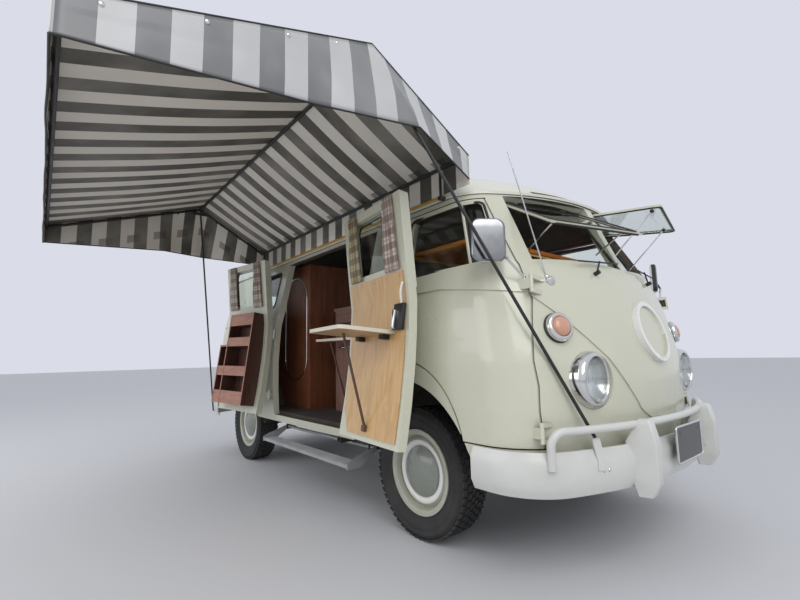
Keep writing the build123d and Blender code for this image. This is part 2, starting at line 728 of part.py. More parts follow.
# Overrider sections, bottom to top: height, back x, front x, back half width, front half width
HORN_Y = 370
HORN_ROUND = 7
HORN_SECTIONS = [
    (345, 2140, 2192, 36, 20),
    (400, 2128, 2222, 46, 25),
    (560, 2112, 2226, 50, 26),
    (638, 2150, 2208, 33, 22),
    (652, 2160, 2198, 24, 16),
]


def build_horn():
    """An overrider: a wedge, wide where it sits on the blade and narrow in front, rounded off at its top."""
    faces = []
    for z, back, front, wide, narrow in HORN_SECTIONS:
        corners = [(back, -wide, z), (front, -narrow, z), (front, narrow, z), (back, wide, z)]
        face = make_face(Polyline(*corners, close=True))
        faces.append(fillet(face.vertices(), HORN_ROUND))
    return Pos(0, -HORN_Y, 0) * loft(faces, ruled=True)


def around(centre, radius, degrees, z=GUARD_HEIGHT):
    """A point on a level circle about a centre given as x, y."""
    turn = math.radians(degrees)
    return (centre[0] + radius * math.cos(turn), centre[1] + radius * math.sin(turn), z)


def build_guard():
    """The guard tube: level along the blade, and bent down at both ends into the blade's face."""
    bow, corner = BLADE_BOW - GUARD_INSET, BLADE_CORNER - GUARD_INSET
    span = BLADE_BOW - BLADE_CORNER
    side = BLADE_HALF - BLADE_CORNER
    join = math.degrees(math.asin(side / span))
    bow_centre = (BLADE_NOSE - BLADE_BOW, 0)
    corner_centre = (bow_centre[0] + math.sqrt(span ** 2 - side ** 2), side)
    meet = around(bow_centre, bow, join)
    middle = around(corner_centre, corner, (join + GUARD_TURN) / 2)
    end = around(corner_centre, corner, GUARD_TURN)
    turn = math.radians(GUARD_TURN)
    back = (-math.sin(turn), math.cos(turn))

    def bend(degrees):
        a = math.radians(degrees)
        out, down = GUARD_BEND * math.sin(a), GUARD_BEND * (1 - math.cos(a))
        return (end[0] + back[0] * out, end[1] + back[1] * out, GUARD_HEIGHT - down)

    foot = (*bend(90)[:2], BLADE_LOW + 110)

    def flip(p):
        return (p[0], -p[1], p[2])

    half = [Line(foot, bend(90)), ThreePointArc(bend(90), bend(45), end), ThreePointArc(end, middle, meet)]
    other = [ThreePointArc(flip(meet), flip(middle), flip(end)),
             ThreePointArc(flip(end), flip(bend(45)), flip(bend(90))), Line(flip(bend(90)), flip(foot))]
    run = Wire([*half, ThreePointArc(meet, around(bow_centre, bow, 0), flip(meet)), *other])
    return sweep(Plane(origin=foot, z_dir=(0, 0, 1)) * Circle(GUARD_TUBE), path=run)


def build_strut_bracket():
    """Bent white plate: bolted to the blade's face, it leans back over the blade to the strut's end."""
    rise, bevel = BLADE_BEVEL
    kink = BLADE_HIGH - rise + 1
    back, top = -STRUT_BRACKET_BACK, STRUT_BRACKET_TOP
    outline = [(-2, 472), (4, 472), (4, kink), (back + 5, top), (back - 3, top), (-2, kink)]
    frame = Plane(
        origin=around((BLADE_NOSE - BLADE_BOW, 0), BLADE_BOW, -math.degrees(STRUT_TURN), 0),
        x_dir=(math.cos(STRUT_TURN), -math.sin(STRUT_TURN), 0),
        z_dir=(-math.sin(STRUT_TURN), -math.cos(STRUT_TURN), 0),
    )
    return extrude(frame * make_face(Polyline(*outline, close=True)), 19, both=True)


def build_front_bumper():
    """White blade, two overriders, the upper guard tube, the strut's bracket and the irons behind."""
    part = bumper_blade(BLADE_NOSE, BLADE_HALF, BLADE_CORNER, BLADE_LOW, BLADE_HIGH, 1690)
    horn = build_horn()
    iron = box(1955, 2184, FRONT_IRON_Y - 18, FRONT_IRON_Y + 18, IRON_LOW, IRON_HIGH)
    part += horn
    part += mirrored(horn)
    part += iron
    part += mirrored(iron)
    for y in (-70, 70):
        part += box(2180, PLATE_X - SEAT, y - 12, y + 12, 500, 520)
    part += build_guard()
    part += build_strut_bracket()
    return part


def build_rear_bumper():
    """The rear blade with its irons."""
    blade = Rot(0, 0, 180) * bumper_blade(2085, 905, 250, 370, 540, 1640)
    iron = box(-2078, -1380.3, REAR_IRON_Y - IRON_HALF, REAR_IRON_Y + IRON_HALF, IRON_LOW, IRON_HIGH)
    iron += tow_eye(-1990, REAR_IRON_Y - IRON_HALF, -1, IRON_HIGH)
    boss = rod((-1850, -845, 400), (-1850, -873.5, 400), 14)
    return blade + iron + mirrored(iron) + boss


def build_headlights():
    """Round headlights: bucket, bright bezel and domed lens."""
    edges = [
        Line((0, 0), (0, 100)),
        ThreePointArc((0, 100), (48, 92), (92, 74)),
        Line((92, 74), (98, 84)),
        Line((98, 84), (110, 82)),
        ThreePointArc((110, 82), (117, 73), (120, 58)),
        Line((120, 58), (120, 0)),
        Line((120, 0), (0, 0)),
    ]
    lamp = revolve(make_face(Wire(edges)), Axis.Y)
    lamp = Pos(1985, -517, 815) * Rot(0, 0, -90) * lamp
    return both(lamp)


def on_skin(y, z, ahead):
    """Frame on the nose or the tail at a height and offset, its z axis leaving the panel."""
    side = 1 if ahead else -1
    probe = Axis((side * 2600, y, z), (-side, 0, 0))
    hits = outer_form.find_intersection_points(probe)
    point, out = max(hits, key=lambda hit: hit[0].X * side)
    if out.X * side < 0:
        out = out * -1
    return Plane(origin=point, z_dir=out)


def build_turn_signals():
    """Amber lenses in bright rings on the nose's shoulders."""
    seat = on_skin(-637, 1034, True)
    lamp = seat * Pos(0, 0, 10) * Cylinder(62, 60)
    lamp += seat * Pos(0, 0, 40) * Cone(52, 36, 16)
    lamp -= outer_form
    return both(lamp)


def build_medallion():
    """A plain raised ring with a low disc, lying on the nose."""
    seat = on_skin(0, 1023, True)
    disc = seat * (Cylinder(152, 40) - Pos(0, 0, 20) * Cylinder(128, 22))
    return disc - outer_form


FRONT_LEAF = (LEAF_SPLIT + LEAF_MIDDLE_GAP / 2, DOORWAY_FRONT)
REAR_LEAF = (DOORWAY_REAR, LEAF_SPLIT - LEAF_MIDDLE_GAP / 2)


def open_front(part):
    return part.rotate(FRONT_LEAF_AXIS, LEAF_FRONT_OPEN)


def open_rear(part):
    return part.rotate(REAR_LEAF_AXIS, -LEAF_REAR_OPEN)


def leaf_shell(span, front):
    """One cargo leaf in its closed place: the flank's own skin with a window."""
    x0, x1 = span
    part = skin & leaf_prism(x0, x1, 0)
    window = mirrored(side_window_cuts[0 if front else 1])
    return part - window


def build_leaf_front():
    return add_all(leaf_shell(FRONT_LEAF, True), front_straps)


def build_leaf_rear():
    return add_all(leaf_shell(REAR_LEAF, False), rear_straps)


GLASS = 5
GLASS_DEPTH = 16
outer_glass = body_form(GLASS_DEPTH) - body_form(GLASS_DEPTH + GLASS)


def glass(cut):
    """Glass that fills a window cut."""
    return outer_glass & cut


LINER = 6
liner_form = body_form(WALL + SEAT) - body_form(WALL + SEAT + LINER)


def build_liner_front():
    """Varnished plywood on the front leaf's inner face, below the window."""
    span = box(FRONT_LEAF[0] + 26, FRONT_LEAF[1] - 30, -1000, -500, FLOOR_TOP + 10, 1318)
    board = liner_form & span
    for drum in tub_space(TUB_WALL + LINER):
        board -= drum
    return board


LEAF_TABLE_Z = 1031
LEAF_TABLE = (350, 742, 300, 18)


def build_leaf_table():
    """Flap table standing out from the front leaf, with its steel strut to the leaf's foot."""
    x0, x1, depth, thick = LEAF_TABLE
    face = -870 + WALL + SEAT + LINER
    board = box(x0, x1, face - 20, face + depth, LEAF_TABLE_Z - thick / 2, LEAF_TABLE_Z + thick / 2)
    board = fillet(board.edges().filter_by(Axis.Z).sort_by(Axis.Y)[2:], 30)
    board = board.rotate(Axis((0, face, LEAF_TABLE_Z), (1, 0, 0)), -3.2)
    mid = (x0 + x1) / 2
    strut = rod((mid, face + 10, 562), (mid, face + 190, LEAF_TABLE_Z - 16), 7)
    foot = box(mid - 16, mid + 16, face - 20, face + 22, 545, 575)
    for x in (x0 + 70, x1 - 70):
        board += box(x - 20, x + 20, face - 20, face + 45, LEAF_TABLE_Z - 34, LEAF_TABLE_Z - 4)
    return (board + strut + foot) & body_form(WALL + 2 * SEAT + LINER)


# Shelf rack on the rear leaf: ends, divider and height along the leaf; its front's y at foot and head
RACK_ENDS = (-324, 149)
RACK_DIVIDER = 26
RACK_LOW, RACK_HIGH = 549, 1271
RACK_STEP = 1018
RACK_FRONTS = (-705, -700)
RACK_BOARD = 14
RACK_SHELVES = [(549, 100), (769, 76), (1004, 72), (1173, 98)]


def build_rack():
    """Shelf rack: a full-width lower half, a narrower upper half, shelves with fronts, and a back."""
    back = -870
    t = RACK_BOARD
    low_y, high_y = RACK_FRONTS

    def front_at(z):
        return low_y + (high_y - low_y) * (z - RACK_LOW) / (RACK_HIGH - RACK_LOW)

    def side(x, top):
        outline = [(back, RACK_LOW), (low_y, RACK_LOW), (front_at(top), top), (back, top)]
        return extrude(yz_face(outline, x), t, dir=(1, 0, 0))

    first, last = RACK_ENDS
    part = side(first, RACK_HIGH) + side(RACK_DIVIDER, RACK_HIGH) + side(last - t, RACK_STEP)
    for low, high, end in ((RACK_LOW, RACK_HIGH, RACK_DIVIDER + t), (RACK_LOW, RACK_STEP, last)):
        part += liner_form & box(first, end, -1000, -500, low, high)
    part += box(first, last, back, front_at(RACK_STEP) - 1, RACK_STEP - t, RACK_STEP)
    for z, height in RACK_SHELVES:
        end = last if z < RACK_STEP - t else RACK_DIVIDER + t
        part += box(first, end, back, front_at(z) - 1, z, z + t)
        part += box(first, end, front_at(z) - 1 - t, front_at(z) - 1, z, z + height)
    part += box(first, RACK_DIVIDER + t, back, front_at(RACK_HIGH) - 1, RACK_HIGH - t, RACK_HIGH)
    return part & body_core


curtain_space = body_form(WALL + SEAT) - body_form(WALL + SEAT + 18)


def build_curtains(window_x):
    """Two gathered curtains hanging beside a leaf's window, as plain slabs."""
    part = None
    for x in (window_x - 190, window_x + 190):
        slab = box(x - 62, x + 62, -1000, -500, 1325, 1690)
        slab &= curtain_space
        part = slab if part is None else part + slab
    return part


def build_cab_door():
    """The left cab door in its closed place, with its window cut."""
    return add_all((skin & door_outline(0)) - cab_window, cab_straps)


def head_room():
    """Space over the left door, which rises as it swings because its hinges lean."""
    rear, front = DOOR_HEAD_ROOM
    wedge = [(1100, DOOR_TOP - rear), (1700, DOOR_TOP - front), (1700, DOOR_TOP + 20), (1100, DOOR_TOP + 20)]
    return side_prism(wedge, 300, 1100)


def screen_parts(index):
    """Frame and glass of one windscreen, swung out from its top edge; index 0 is the right one."""
    corners, normal = screen_corners()
    middle = sum(corners, Vector(0, 0, 0)) / 4
    shrunk = [c + (middle - c).normalized() * 8 for c in corners]
    inner = [c + (middle - c).normalized() * (8 + SCREEN_RAIL * 1.5) for c in corners]
    plate = extrude(make_face(Polyline(*shrunk, close=True)), SCREEN_THICK, dir=normal)
    hole = extrude(make_face(Polyline(*inner, close=True)), SCREEN_THICK, dir=normal)
    frame = plate - hole
    for share in (0.2, 0.8):
        frame += screen_hinge_rod(share - 0.015, share + 0.015, SCREEN_GROOVE - SEAT)
    pane_solid = Pos(*(normal * 3)) * extrude(make_face(Polyline(*inner, close=True)), 4, dir=normal)
    hinge = Axis(corners[0], corners[1] - corners[0])
    turned = [p.rotate(hinge, -SCREEN_OPEN[index]) for p in (frame, pane_solid)]
    if turned[0].center().Z < middle.Z:
        turned = [p.rotate(hinge, SCREEN_OPEN[index]) for p in (frame, pane_solid)]
    return turned


def build_screens(which):
    right = screen_parts(0)[which]
    left = mirrored(screen_parts(1)[which])
    return Compound(children=[*right.solids(), *left.solids()])


def gate_glass_cut():
    """The tailgate's window."""
    face = make_face(Polyline((0, -470, 1345), (0, 470, 1345), (0, 430, 1640), (0, -430, 1640), close=True))
    prism = Pos(-2300, 0, 0) * extrude(face, 600, dir=(1, 0, 0))
    return fillet(prism.edges().filter_by(Axis.X), 60)


def build_tailgate():
    return add_all((skin & tail_space(*TAIL_GATE, 0)) - gate_glass_cut(), gate_straps)


def build_engine_lid():
    pad = box(-2022, -1990, -158, 158, 700, 815)
    lid = add_all((skin & tail_space(*ENGINE_LID, 0)) + (pad - inner_form), lid_straps)
    for y in (-PLATE_HOLE_Y, PLATE_HOLE_Y):
        lid -= rod((-2030, y, 760), (-1940, y, 760), PLATE_HOLE)
    return lid


AWNING_SLOPE = [AWNING_INNER, AWNING_RIDGE, AWNING_OUTER]


def yz_face(points, x=0):
    return make_face(Polyline(*[(x, y, z) for y, z in points], close=True))


def gable(x, low_edge):
    """One end cloth: flat towards the outside, then drawn out over the strut and back to the van."""
    inner, ridge, outer = AWNING_SLOPE
    outer_low, middle_low, pushed, inner_low = low_edge
    top = (x, ridge[0], ridge[1] - 1)
    top_inner = (x, inner[0] - 2, inner[1] - 2)
    top_outer = (x, outer[0] + 2, outer[1] - 2)
    facets = [
        (top, top_outer, (x, *outer_low), (x, *middle_low)),
        (top, (x, *middle_low), pushed),
        (top, pushed, top_inner),
        (top_inner, pushed, (x, *inner_low)),
    ]
    cloth = None
    for facet in facets:
        slab = extrude(make_face(Polyline(*facet, close=True)), AWNING_CLOTH, dir=(1, 0, 0))
        cloth = slab if cloth is None else cloth + slab
    return cloth


def build_canopy():
    """Awning cloth: two slopes, an outer and an inner valance and a gable cloth at each end."""
    inner, ridge, outer = AWNING_SLOPE
    t = AWNING_CLOTH
    length = AWNING_FRONT - AWNING_REAR
    lid = [inner, ridge, outer, (outer[0], outer[1] - AWNING_VALANCE),
           (outer[0] + t, outer[1] - AWNING_VALANCE), (outer[0] + t, outer[1] - t), (ridge[0], ridge[1] - t),
           (inner[0] - t, inner[1] - t), (inner[0] - 4 - t, GUTTER_HEIGHT + 16),
           (inner[0] - 4, GUTTER_HEIGHT + 16)]
    part = Pos(AWNING_REAR, 0, 0) * extrude(yz_face(lid), length, dir=(1, 0, 0))
    part += gable(AWNING_FRONT - t, GABLE_FRONT)
    part += gable(AWNING_REAR, GABLE_REAR)
    return part


def build_awning_frame():
    """Black tubes under the cloth: ridge, outer and inner bars, end rafters, gutter posts and two struts."""
    r = AWNING_TUBE
    inner, ridge, outer = [(y, z - AWNING_DROP) for y, z in AWNING_SLOPE]
    inner = (inner[0] - 26, inner[1] + 4)
    outer = (outer[0] + 18, outer[1])
    ends = (AWNING_REAR + 22, AWNING_FRONT - 22)
    frame = rod((ends[0] - r, *ridge), (ends[1] + r, *ridge), r)
    for y, z in (inner, outer):
        frame += rod((ends[0] - r, y, z), (ends[1] + r, y, z), r)
    for x in ends:
        for low in (inner, outer):
            frame += rod((x, *low), (x, *ridge), r - 1)
        frame += box(x - 7, x + 7, ridge[0] - 60, ridge[0] + 60, ridge[1] - 48, ridge[1] - 24)
    for x in (ends[0] + 40, 1440):
        frame += rod((x, *inner), (x, inner[0], GUTTER_HEIGHT - 8), r - 3)
        frame += box(x - 12, x + 12, inner[0] - 10, AWNING_CLAMP_Y, GUTTER_HEIGHT - 16, GUTTER_HEIGHT + 2)
    for x, foot in ((ends[1], STRUT_FRONT_FOOT), (ends[0], STRUT_REAR_FOOT)):
        frame += rod((x, *ridge), foot, r - 3)
    return frame


def build_step():
    """Fold-out step: ribbed tread, two cranked end arms and the pivot tube."""
    x0, x1 = STEP_SPAN
    y, z = STEP_PIVOT
    part = rod((x0, y, z), (x1, y, z), STEP_TUBE)
    part += box(x0, x1, -935, -845, 302, 322)
    for x in (x0, x1 - 8):
        face = make_face(Polyline((0, y + 12, z + 12), (0, y + 12, z - 14), (0, -845, 296), (0, -938, 296),
                                  (0, -938, 330), (0, -900, 346), close=True))
        part += Pos(x, 0, 0) * extrude(face, 8, dir=(1, 0, 0))
    return part


def build_wardrobe():
    """Tall cupboard behind the rear leaf."""
    part = box(-900, -280, -600, -140, FLOOR_TOP, 1708)
    return clear_of_tubs(part)


def build_cabinet():
    """Kitchen cupboard inside the doorway, with its towel bar and counter."""
    part = box(-60, 860, -490, -120, FLOOR_TOP, 1290)
    part += box(-72, 866, -496, -115, 1290, 1312)
    return clear_of_tubs(part)


def build_inner_table():
    """Flap table on the cupboard's face, propped by a steel strut."""
    face = -490
    board = box(-60, 560, -680, face - SEAT, 1046, 1064)
    board = fillet(board.edges().filter_by(Axis.Z).sort_by(Axis.Y)[:2], 30)
    strut = rod((129, face - 8, 540), (129, face - 160, 1047), 7)
    foot = box(115, 143, face - 16, face - SEAT, 525, 552)
    return board + strut + foot


def build_bulkhead():
    """Half-height partition behind the cab, with the seat box in front of it."""
    part = body_core & box(925, 945, -1100, 1100, FLOOR_TOP, 1180)
    part += box(945, 1420, -420, 420, FLOOR_TOP, 828)
    bench = box(-1478, -905, -428, 428, FLOOR_TOP, 949) + box(-1478, -925, -600, 600, 830, 949)
    part = clear_of_tubs(part)
    return Compound(children=[*part.solids(), *clear_of_tubs(bench).solids()])


def build_cab_seat():
    """Full-width cab bench, base and back cushions."""
    base = fillet(box(1010, 1470, -700, 700, 828 + SEAT, 960).edges(), 22)
    back = fillet(box(945 + SEAT, 1030, -700, 700, 961, 1330).edges(), 22)
    bench = fillet(box(-1470, -930, -560, 560, 949 + SEAT, 1050).edges(), 22)
    return Compound(children=[*base.solids(), *back.solids(), *bench.solids()])


def build_bunk():
    """Folding cab bunk above the seat, slung from side to side."""
    panel = box(1062, 1560, -640, 640, 1500, 1530)
    rail = body_core & box(1064, 1112, -1100, 1100, 1488, 1516)
    return panel + rail


DASH_HALF = 572


def build_dashboard():
    """Body-coloured shelf under the windscreens with the instrument pod."""
    part = body_core & box(1800, 2000, -DASH_HALF, DASH_HALF, 1190, 1330)
    part -= box(1700, 1860, -1100, 1100, 1180, 1290)
    return part


def build_steering_wheel():
    """Large thin rim on three spokes and a long column."""
    column_foot = (1850, 370, 540)
    hub = (1500, 370, 1190)
    axis = (Vector(*hub) - Vector(*column_foot)).normalized()
    frame = Plane(origin=hub, z_dir=axis)
    part = frame * Torus(200, 11)
    part += frame * Pos(0, 0, -10) * Cylinder(36, 34)
    for turn in (0, 120, 240):
        spoke = frame * Rot(0, 0, turn) * Pos(100, 0, -4) * Box(200, 16, 8)
        part += spoke
    part += rod(column_foot, hub, 18)
    return part


def build_mirror(y, turn):
    """Bright rectangular mirror on a stay from the cab door's upper hinge; y is its place on the left.

    turn is how far its back looks outwards, so that the driver sees behind in it.
    """
    case = fillet(Box(30, 150, 190).edges().filter_by(Axis.X), 40)
    case = fillet(case.faces().sort_by(Axis.X)[-1].edges(), 12)
    case = Pos(1822, y, 1408) * Rot(0, 0, turn) * case
    hinge, lean = CAB_DOOR_AXIS.position, CAB_DOOR_AXIS.direction
    strap_top = hinge + lean * ((UPPER_HINGE - hinge.Z) / lean.Z + HINGE_MIDDLE)
    foot = Plane(origin=strap_top, x_dir=(1, 0, 0), z_dir=lean) * Pos(-30, 3, 0)
    knee = (1872, 828, 1330)
    mirror = case + foot * Pos(0, 0, 6) * Cylinder(7, 12)
    mirror += rod(tuple((foot * Pos(0, 0, 8)).position), knee, 6)
    mirror += Pos(*knee) * Sphere(6.5)
    mirror += rod(knee, (1826, y, 1400), 6)
    return mirror - raised_form


def build_wipers():
    """Two wiper arms on the scuttle."""
    one = rod((1995, -300, 1300), (1994, -260, 1362), 4)
    one += rod((1972, -420, 1350), (2003, -90, 1368), 4)
    one += rod((1985, -300, 1296), (2010, -300, 1306), 10)
    return both(one - outer_form)


def build_antenna():
    foot = (1917, -608, 1264)
    part = rod(foot, (1857, -760, 1828), 3)
    part += rod((1902, -596, 1250), foot, 13) + Pos(*foot) * Sphere(13)
    return part - outer_form


def build_plate():
    """Blank number plate before the front bumper."""
    plate = fillet(box(PLATE_X, PLATE_X + PLATE_THICK, -158, 158, 440, 595).edges().filter_by(Axis.X), 12)
    for y in (-PLATE_HOLE_Y, PLATE_HOLE_Y):
        plate -= rod((PLATE_X - 1, y, PLATE_HOLE_Z), (PLATE_X + 9, y, PLATE_HOLE_Z), PLATE_HOLE)
    return plate


def build_tail_lights():
    """Oval rear lamps on the corners."""
    seat = on_skin(-700, 880, False)
    lamp = seat * Pos(0, 0, 6) * Cylinder(54, 40)
    lamp += seat * Pos(0, 0, 32) * Cone(48, 34, 12)
    return both(lamp - outer_form)


def build_awning_rail():
    """Varnished batten along the right gutter, under the awning's inner edge."""
    return box(-900, 1430, -740, -722, GUTTER_HEIGHT + SEAT, GUTTER_HEIGHT + 46)


def glass_for(cuts):
    panes = [glass(cut) for cut in cuts]
    return Compound(children=[s for p in panes for s in p.solids()])


cab_door_closed = build_cab_door()

nodes = {
    "body_nose": build_nose(),
    "body_roof": build_roof(),
    "body_side_left": build_side(True),
    "body_side_right": build_side(False),
    "body_rear": build_rear(),
    "floor": build_floor(),
    "chassis_frame": build_chassis(),
    "front_axle": build_front_axle(),
    "knuckle_left": build_knuckle_left(),
    "knuckle_right": mirrored(build_knuckle_left()),
    "rear_axle": build_rear_axle(),
    "engine_block": box(-1890, ENGINE_FRONT, -380, 380, 300, 700),
    "front_bumper": build_front_bumper(),
    "rear_bumper": build_rear_bumper(),
    "plate_front": build_plate(),
    "headlights": build_headlights(),
    "signal_lamps": Compound(children=[*build_turn_signals().solids(), *build_tail_lights().solids()]),
    "nose_medallion": build_medallion(),
    "side_glass": glass_for([*side_window_cuts, mirrored(side_window_cuts[2]), mirrored(cab_window)]),
    "screen_frames": build_screens(0),
    "screen_glass": build_screens(1),
    "cab_door_left": cab_door_closed - head_room(),
    "cab_door_left_glass": glass(cab_window),
    "cab_door_right": mirrored(cab_door_closed),
    "leaf_front": open_front(build_leaf_front()),
    "leaf_front_glass": open_front(mirrored(glass(side_window_cuts[0]))),
    "leaf_front_liner": open_front(build_liner_front()),
    "leaf_front_table": open_front(build_leaf_table()),
    "leaf_front_curtains": open_front(build_curtains(SIDE_WINDOWS[0])),
    "leaf_rear": open_rear(build_leaf_rear()),
    "leaf_rear_glass": open_rear(mirrored(glass(side_window_cuts[1]))),
    "leaf_rear_rack": open_rear(build_rack()),
    "leaf_rear_curtains": open_rear(build_curtains(SIDE_WINDOWS[1])),
    "tailgate": build_tailgate(),
    "tailgate_glass": glass(gate_glass_cut()),
    "engine_lid": build_engine_lid(),
    "awning_canopy": build_canopy(),
    "awning_frame": build_awning_frame(),
    "awning_rail": build_awning_rail(),
    "step": build_step(),
    "wardrobe": build_wardrobe(),
    "kitchen_cabinet": build_cabinet(),
    "inner_table": build_inner_table(),
    "cab_partition": build_bulkhead(),
    "seat_cushions": build_cab_seat(),
    "cab_bunk": build_bunk(),
    "dashboard": build_dashboard(),
    "steering_wheel": build_steering_wheel(),
    "mirror_left": build_mirror(868, 25),
    "mirror_right": mirrored(build_mirror(884, 36)),
    "wipers_antenna": Compound(children=[*build_wipers().solids(), *build_antenna().solids()]),
}
for end, x in (("front", WHEELBASE / 2), ("rear", -WHEELBASE / 2)):
    for hand, side in (("left", 1), ("right", -1)):
        nodes[f"tyre_{end}_{hand}"] = build_tyre(x, side)
        nodes[f"wheel_{end}_{hand}"] = build_wheel(x, side)

os.makedirs("parts", exist_ok=True)
for name, part in nodes.items():
    export_step(Pos(*ORIGIN_SHIFT) * part, f"parts/{name}.step")
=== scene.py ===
import json
import math

import bmesh
import bpy
from mathutils import Matrix, Vector, noise
from mathutils.bvhtree import BVHTree


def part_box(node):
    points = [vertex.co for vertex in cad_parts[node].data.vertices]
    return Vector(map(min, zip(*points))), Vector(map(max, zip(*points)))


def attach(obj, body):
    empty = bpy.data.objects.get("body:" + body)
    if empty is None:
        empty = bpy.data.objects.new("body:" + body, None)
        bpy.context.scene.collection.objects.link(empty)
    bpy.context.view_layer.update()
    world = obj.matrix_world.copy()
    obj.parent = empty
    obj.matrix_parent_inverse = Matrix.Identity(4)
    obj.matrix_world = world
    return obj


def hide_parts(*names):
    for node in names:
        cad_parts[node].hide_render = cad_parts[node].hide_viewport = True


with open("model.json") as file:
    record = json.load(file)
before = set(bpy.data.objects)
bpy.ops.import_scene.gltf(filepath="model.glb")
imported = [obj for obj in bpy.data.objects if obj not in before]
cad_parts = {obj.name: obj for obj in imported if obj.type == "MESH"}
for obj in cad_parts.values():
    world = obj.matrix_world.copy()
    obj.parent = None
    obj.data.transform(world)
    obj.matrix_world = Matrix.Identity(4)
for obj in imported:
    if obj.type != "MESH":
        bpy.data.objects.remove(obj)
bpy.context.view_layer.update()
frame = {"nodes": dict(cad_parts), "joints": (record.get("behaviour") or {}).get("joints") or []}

nodes = frame["nodes"]
joints = {joint["name"]: joint for joint in frame["joints"]}

# The view: a wide lens held at chest height off the right front corner, tipped up a little.
# The van's own origin is on the ground half way between the axles, and places given in
# millimetres from there are moved by the left front hub's known place.
AXLE_PLACE, HUB_SIDE, HUB_HEIGHT = 1200, 687, 330
LEFT_FRONT_HUB = Vector((AXLE_PLACE / 1000, HUB_SIDE / 1000, HUB_HEIGHT / 1000))
van_origin = Vector(joints["roll_front_left"]["pos_m"]) - LEFT_FRONT_HUB
CAMERA_PLACE = (2955, -2313, 939)
CAMERA_YAW, CAMERA_PITCH, CAMERA_ROLL = math.radians(140.315), math.radians(7.126), math.radians(-1.232)
CAMERA_LENS = 19.48


def van(x, y, z):
    """A place on the van, given in millimetres from its own origin."""
    return van_origin + Vector((x, y, z)) / 1000


def keep(piece, body, replaced=()):
    """Binds a finished piece to its body and hides the plain solids it stands for."""
    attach(piece, body)
    if replaced:
        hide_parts(*replaced)
    return piece


camera_data = bpy.data.cameras.new("camera")
camera_data.sensor_width = 36
camera_data.lens = CAMERA_LENS
camera = bpy.data.objects.new("camera", camera_data)
bpy.context.scene.collection.objects.link(camera)
forward = Vector((
    math.cos(CAMERA_PITCH) * math.cos(CAMERA_YAW),
    math.cos(CAMERA_PITCH) * math.sin(CAMERA_YAW),
    math.sin(CAMERA_PITCH),
))
level_right = forward.cross(Vector((0, 0, 1))).normalized()
level_up = level_right.cross(forward)
camera_right = math.cos(CAMERA_ROLL) * level_right + math.sin(CAMERA_ROLL) * level_up
camera_up = math.cos(CAMERA_ROLL) * level_up - math.sin(CAMERA_ROLL) * level_right
camera.matrix_world = Matrix.Translation(van(*CAMERA_PLACE)) @ Matrix((
    camera_right, camera_up, -forward,
)).transposed().to_4x4()
bpy.context.scene.camera = camera
bpy.context.scene.view_settings.view_transform = "Standard"

# The studio: a wide pale floor, an even pale sky and two broad soft lamps.
FLOOR_HALF = 45
FLOOR_COLOUR = (0.60, 0.60, 0.61, 1)
SKY_COLOUR = (0.80, 0.83, 0.90, 1)
SKY_SEEN = (0.70, 0.72, 0.80, 1)
SKY_STRENGTH = 0.88


def put(tree, kind, inputs=(), **settings):
    """Adds a shader node; inputs maps a socket's name or number to a value or to another socket."""
    made = tree.nodes.new("ShaderNode" + kind)
    for name, value in settings.items():
        setattr(made, name, value)
    for key, value in dict(inputs).items():
        if isinstance(value, bpy.types.NodeSocket):
            tree.links.new(value, made.inputs[key])
        else:
            made.inputs[key].default_value = value
    return made.outputs


def as_object(name, bm, materials=(), smooth=None):
    """Turns a bmesh into a linked object with its materials, shaded smooth below an angle in degrees."""
    if smooth is not None:
        for face in bm.faces:
            face.smooth = True
        for edge in bm.edges:
            edge.smooth = edge.calc_face_angle(3) < math.radians(smooth)
    mesh = bpy.data.meshes.new(name)
    bm.to_mesh(mesh)
    bm.free()
    for material in materials:
        mesh.materials.append(material)
    piece = bpy.data.objects.new(name, mesh)
    bpy.context.scene.collection.objects.link(piece)
    return piece


floor_bm = bmesh.new()
bmesh.ops.create_grid(floor_bm, x_segments=1, y_segments=1, size=FLOOR_HALF)
floor_finish = bpy.data.materials.new("studio_floor")
floor_finish.use_nodes = True
floor_tree = floor_finish.node_tree
floor_shader = floor_tree.nodes["Principled BSDF"]
floor_shader.inputs["Base Color"].default_value = FLOOR_COLOUR
floor_shader.inputs["Roughness"].default_value = 0.85
studio_floor = as_object("studio_floor", floor_bm, [floor_finish])

world = bpy.data.worlds.new("studio")
world.use_nodes = True
bpy.context.scene.world = world
sky = world.node_tree
sky_light = sky.nodes["Background"]
sky_light.inputs["Color"].default_value = SKY_COLOUR
sky_light.inputs["Strength"].default_value = SKY_STRENGTH
sky_seen = put(sky, "Background", {"Color": SKY_SEEN, "Strength": 1.0})
ray = put(sky, "LightPath")
sky_mix = put(sky, "MixShader", {0: ray["Is Camera Ray"], 1: sky_light.outputs[0], 2: sky_seen[0]})
sky.links.new(sky_mix[0], sky.nodes["World Output"].inputs["Surface"])


def soft_lamp(name, place, aim, size, energy):
    """A large area lamp that looks at a point."""
    data = bpy.data.lights.new(name, "AREA")
    data.size = size
    data.energy = energy
    lamp = bpy.data.objects.new(name, data)
    bpy.context.scene.collection.objects.link(lamp)
    lamp.location = place
    lamp.rotation_euler = (aim - place).to_track_quat("-Z", "Y").to_euler()


KEY_LAMP = {"place": van(6000, -3500, 5200), "aim": van(600, -600, 900), "size": 4.5, "energy": 190}
FILL_LAMP = {"place": van(-1500, -7000, 3800), "aim": van(0, -900, 900), "size": 5.0, "energy": 130}
soft_lamp("key_lamp", **KEY_LAMP)
soft_lamp("fill_lamp", **FILL_LAMP)

# Body paint: pale cream-grey enamel, polished by hand for years, so it has soft clouds in its
# gloss, a breath of dust in clouds and a faint orange-peel under the lacquer.
PAINT = (0.585, 0.58, 0.455, 1)
PAINT_WORN = (0.50, 0.495, 0.39, 1)


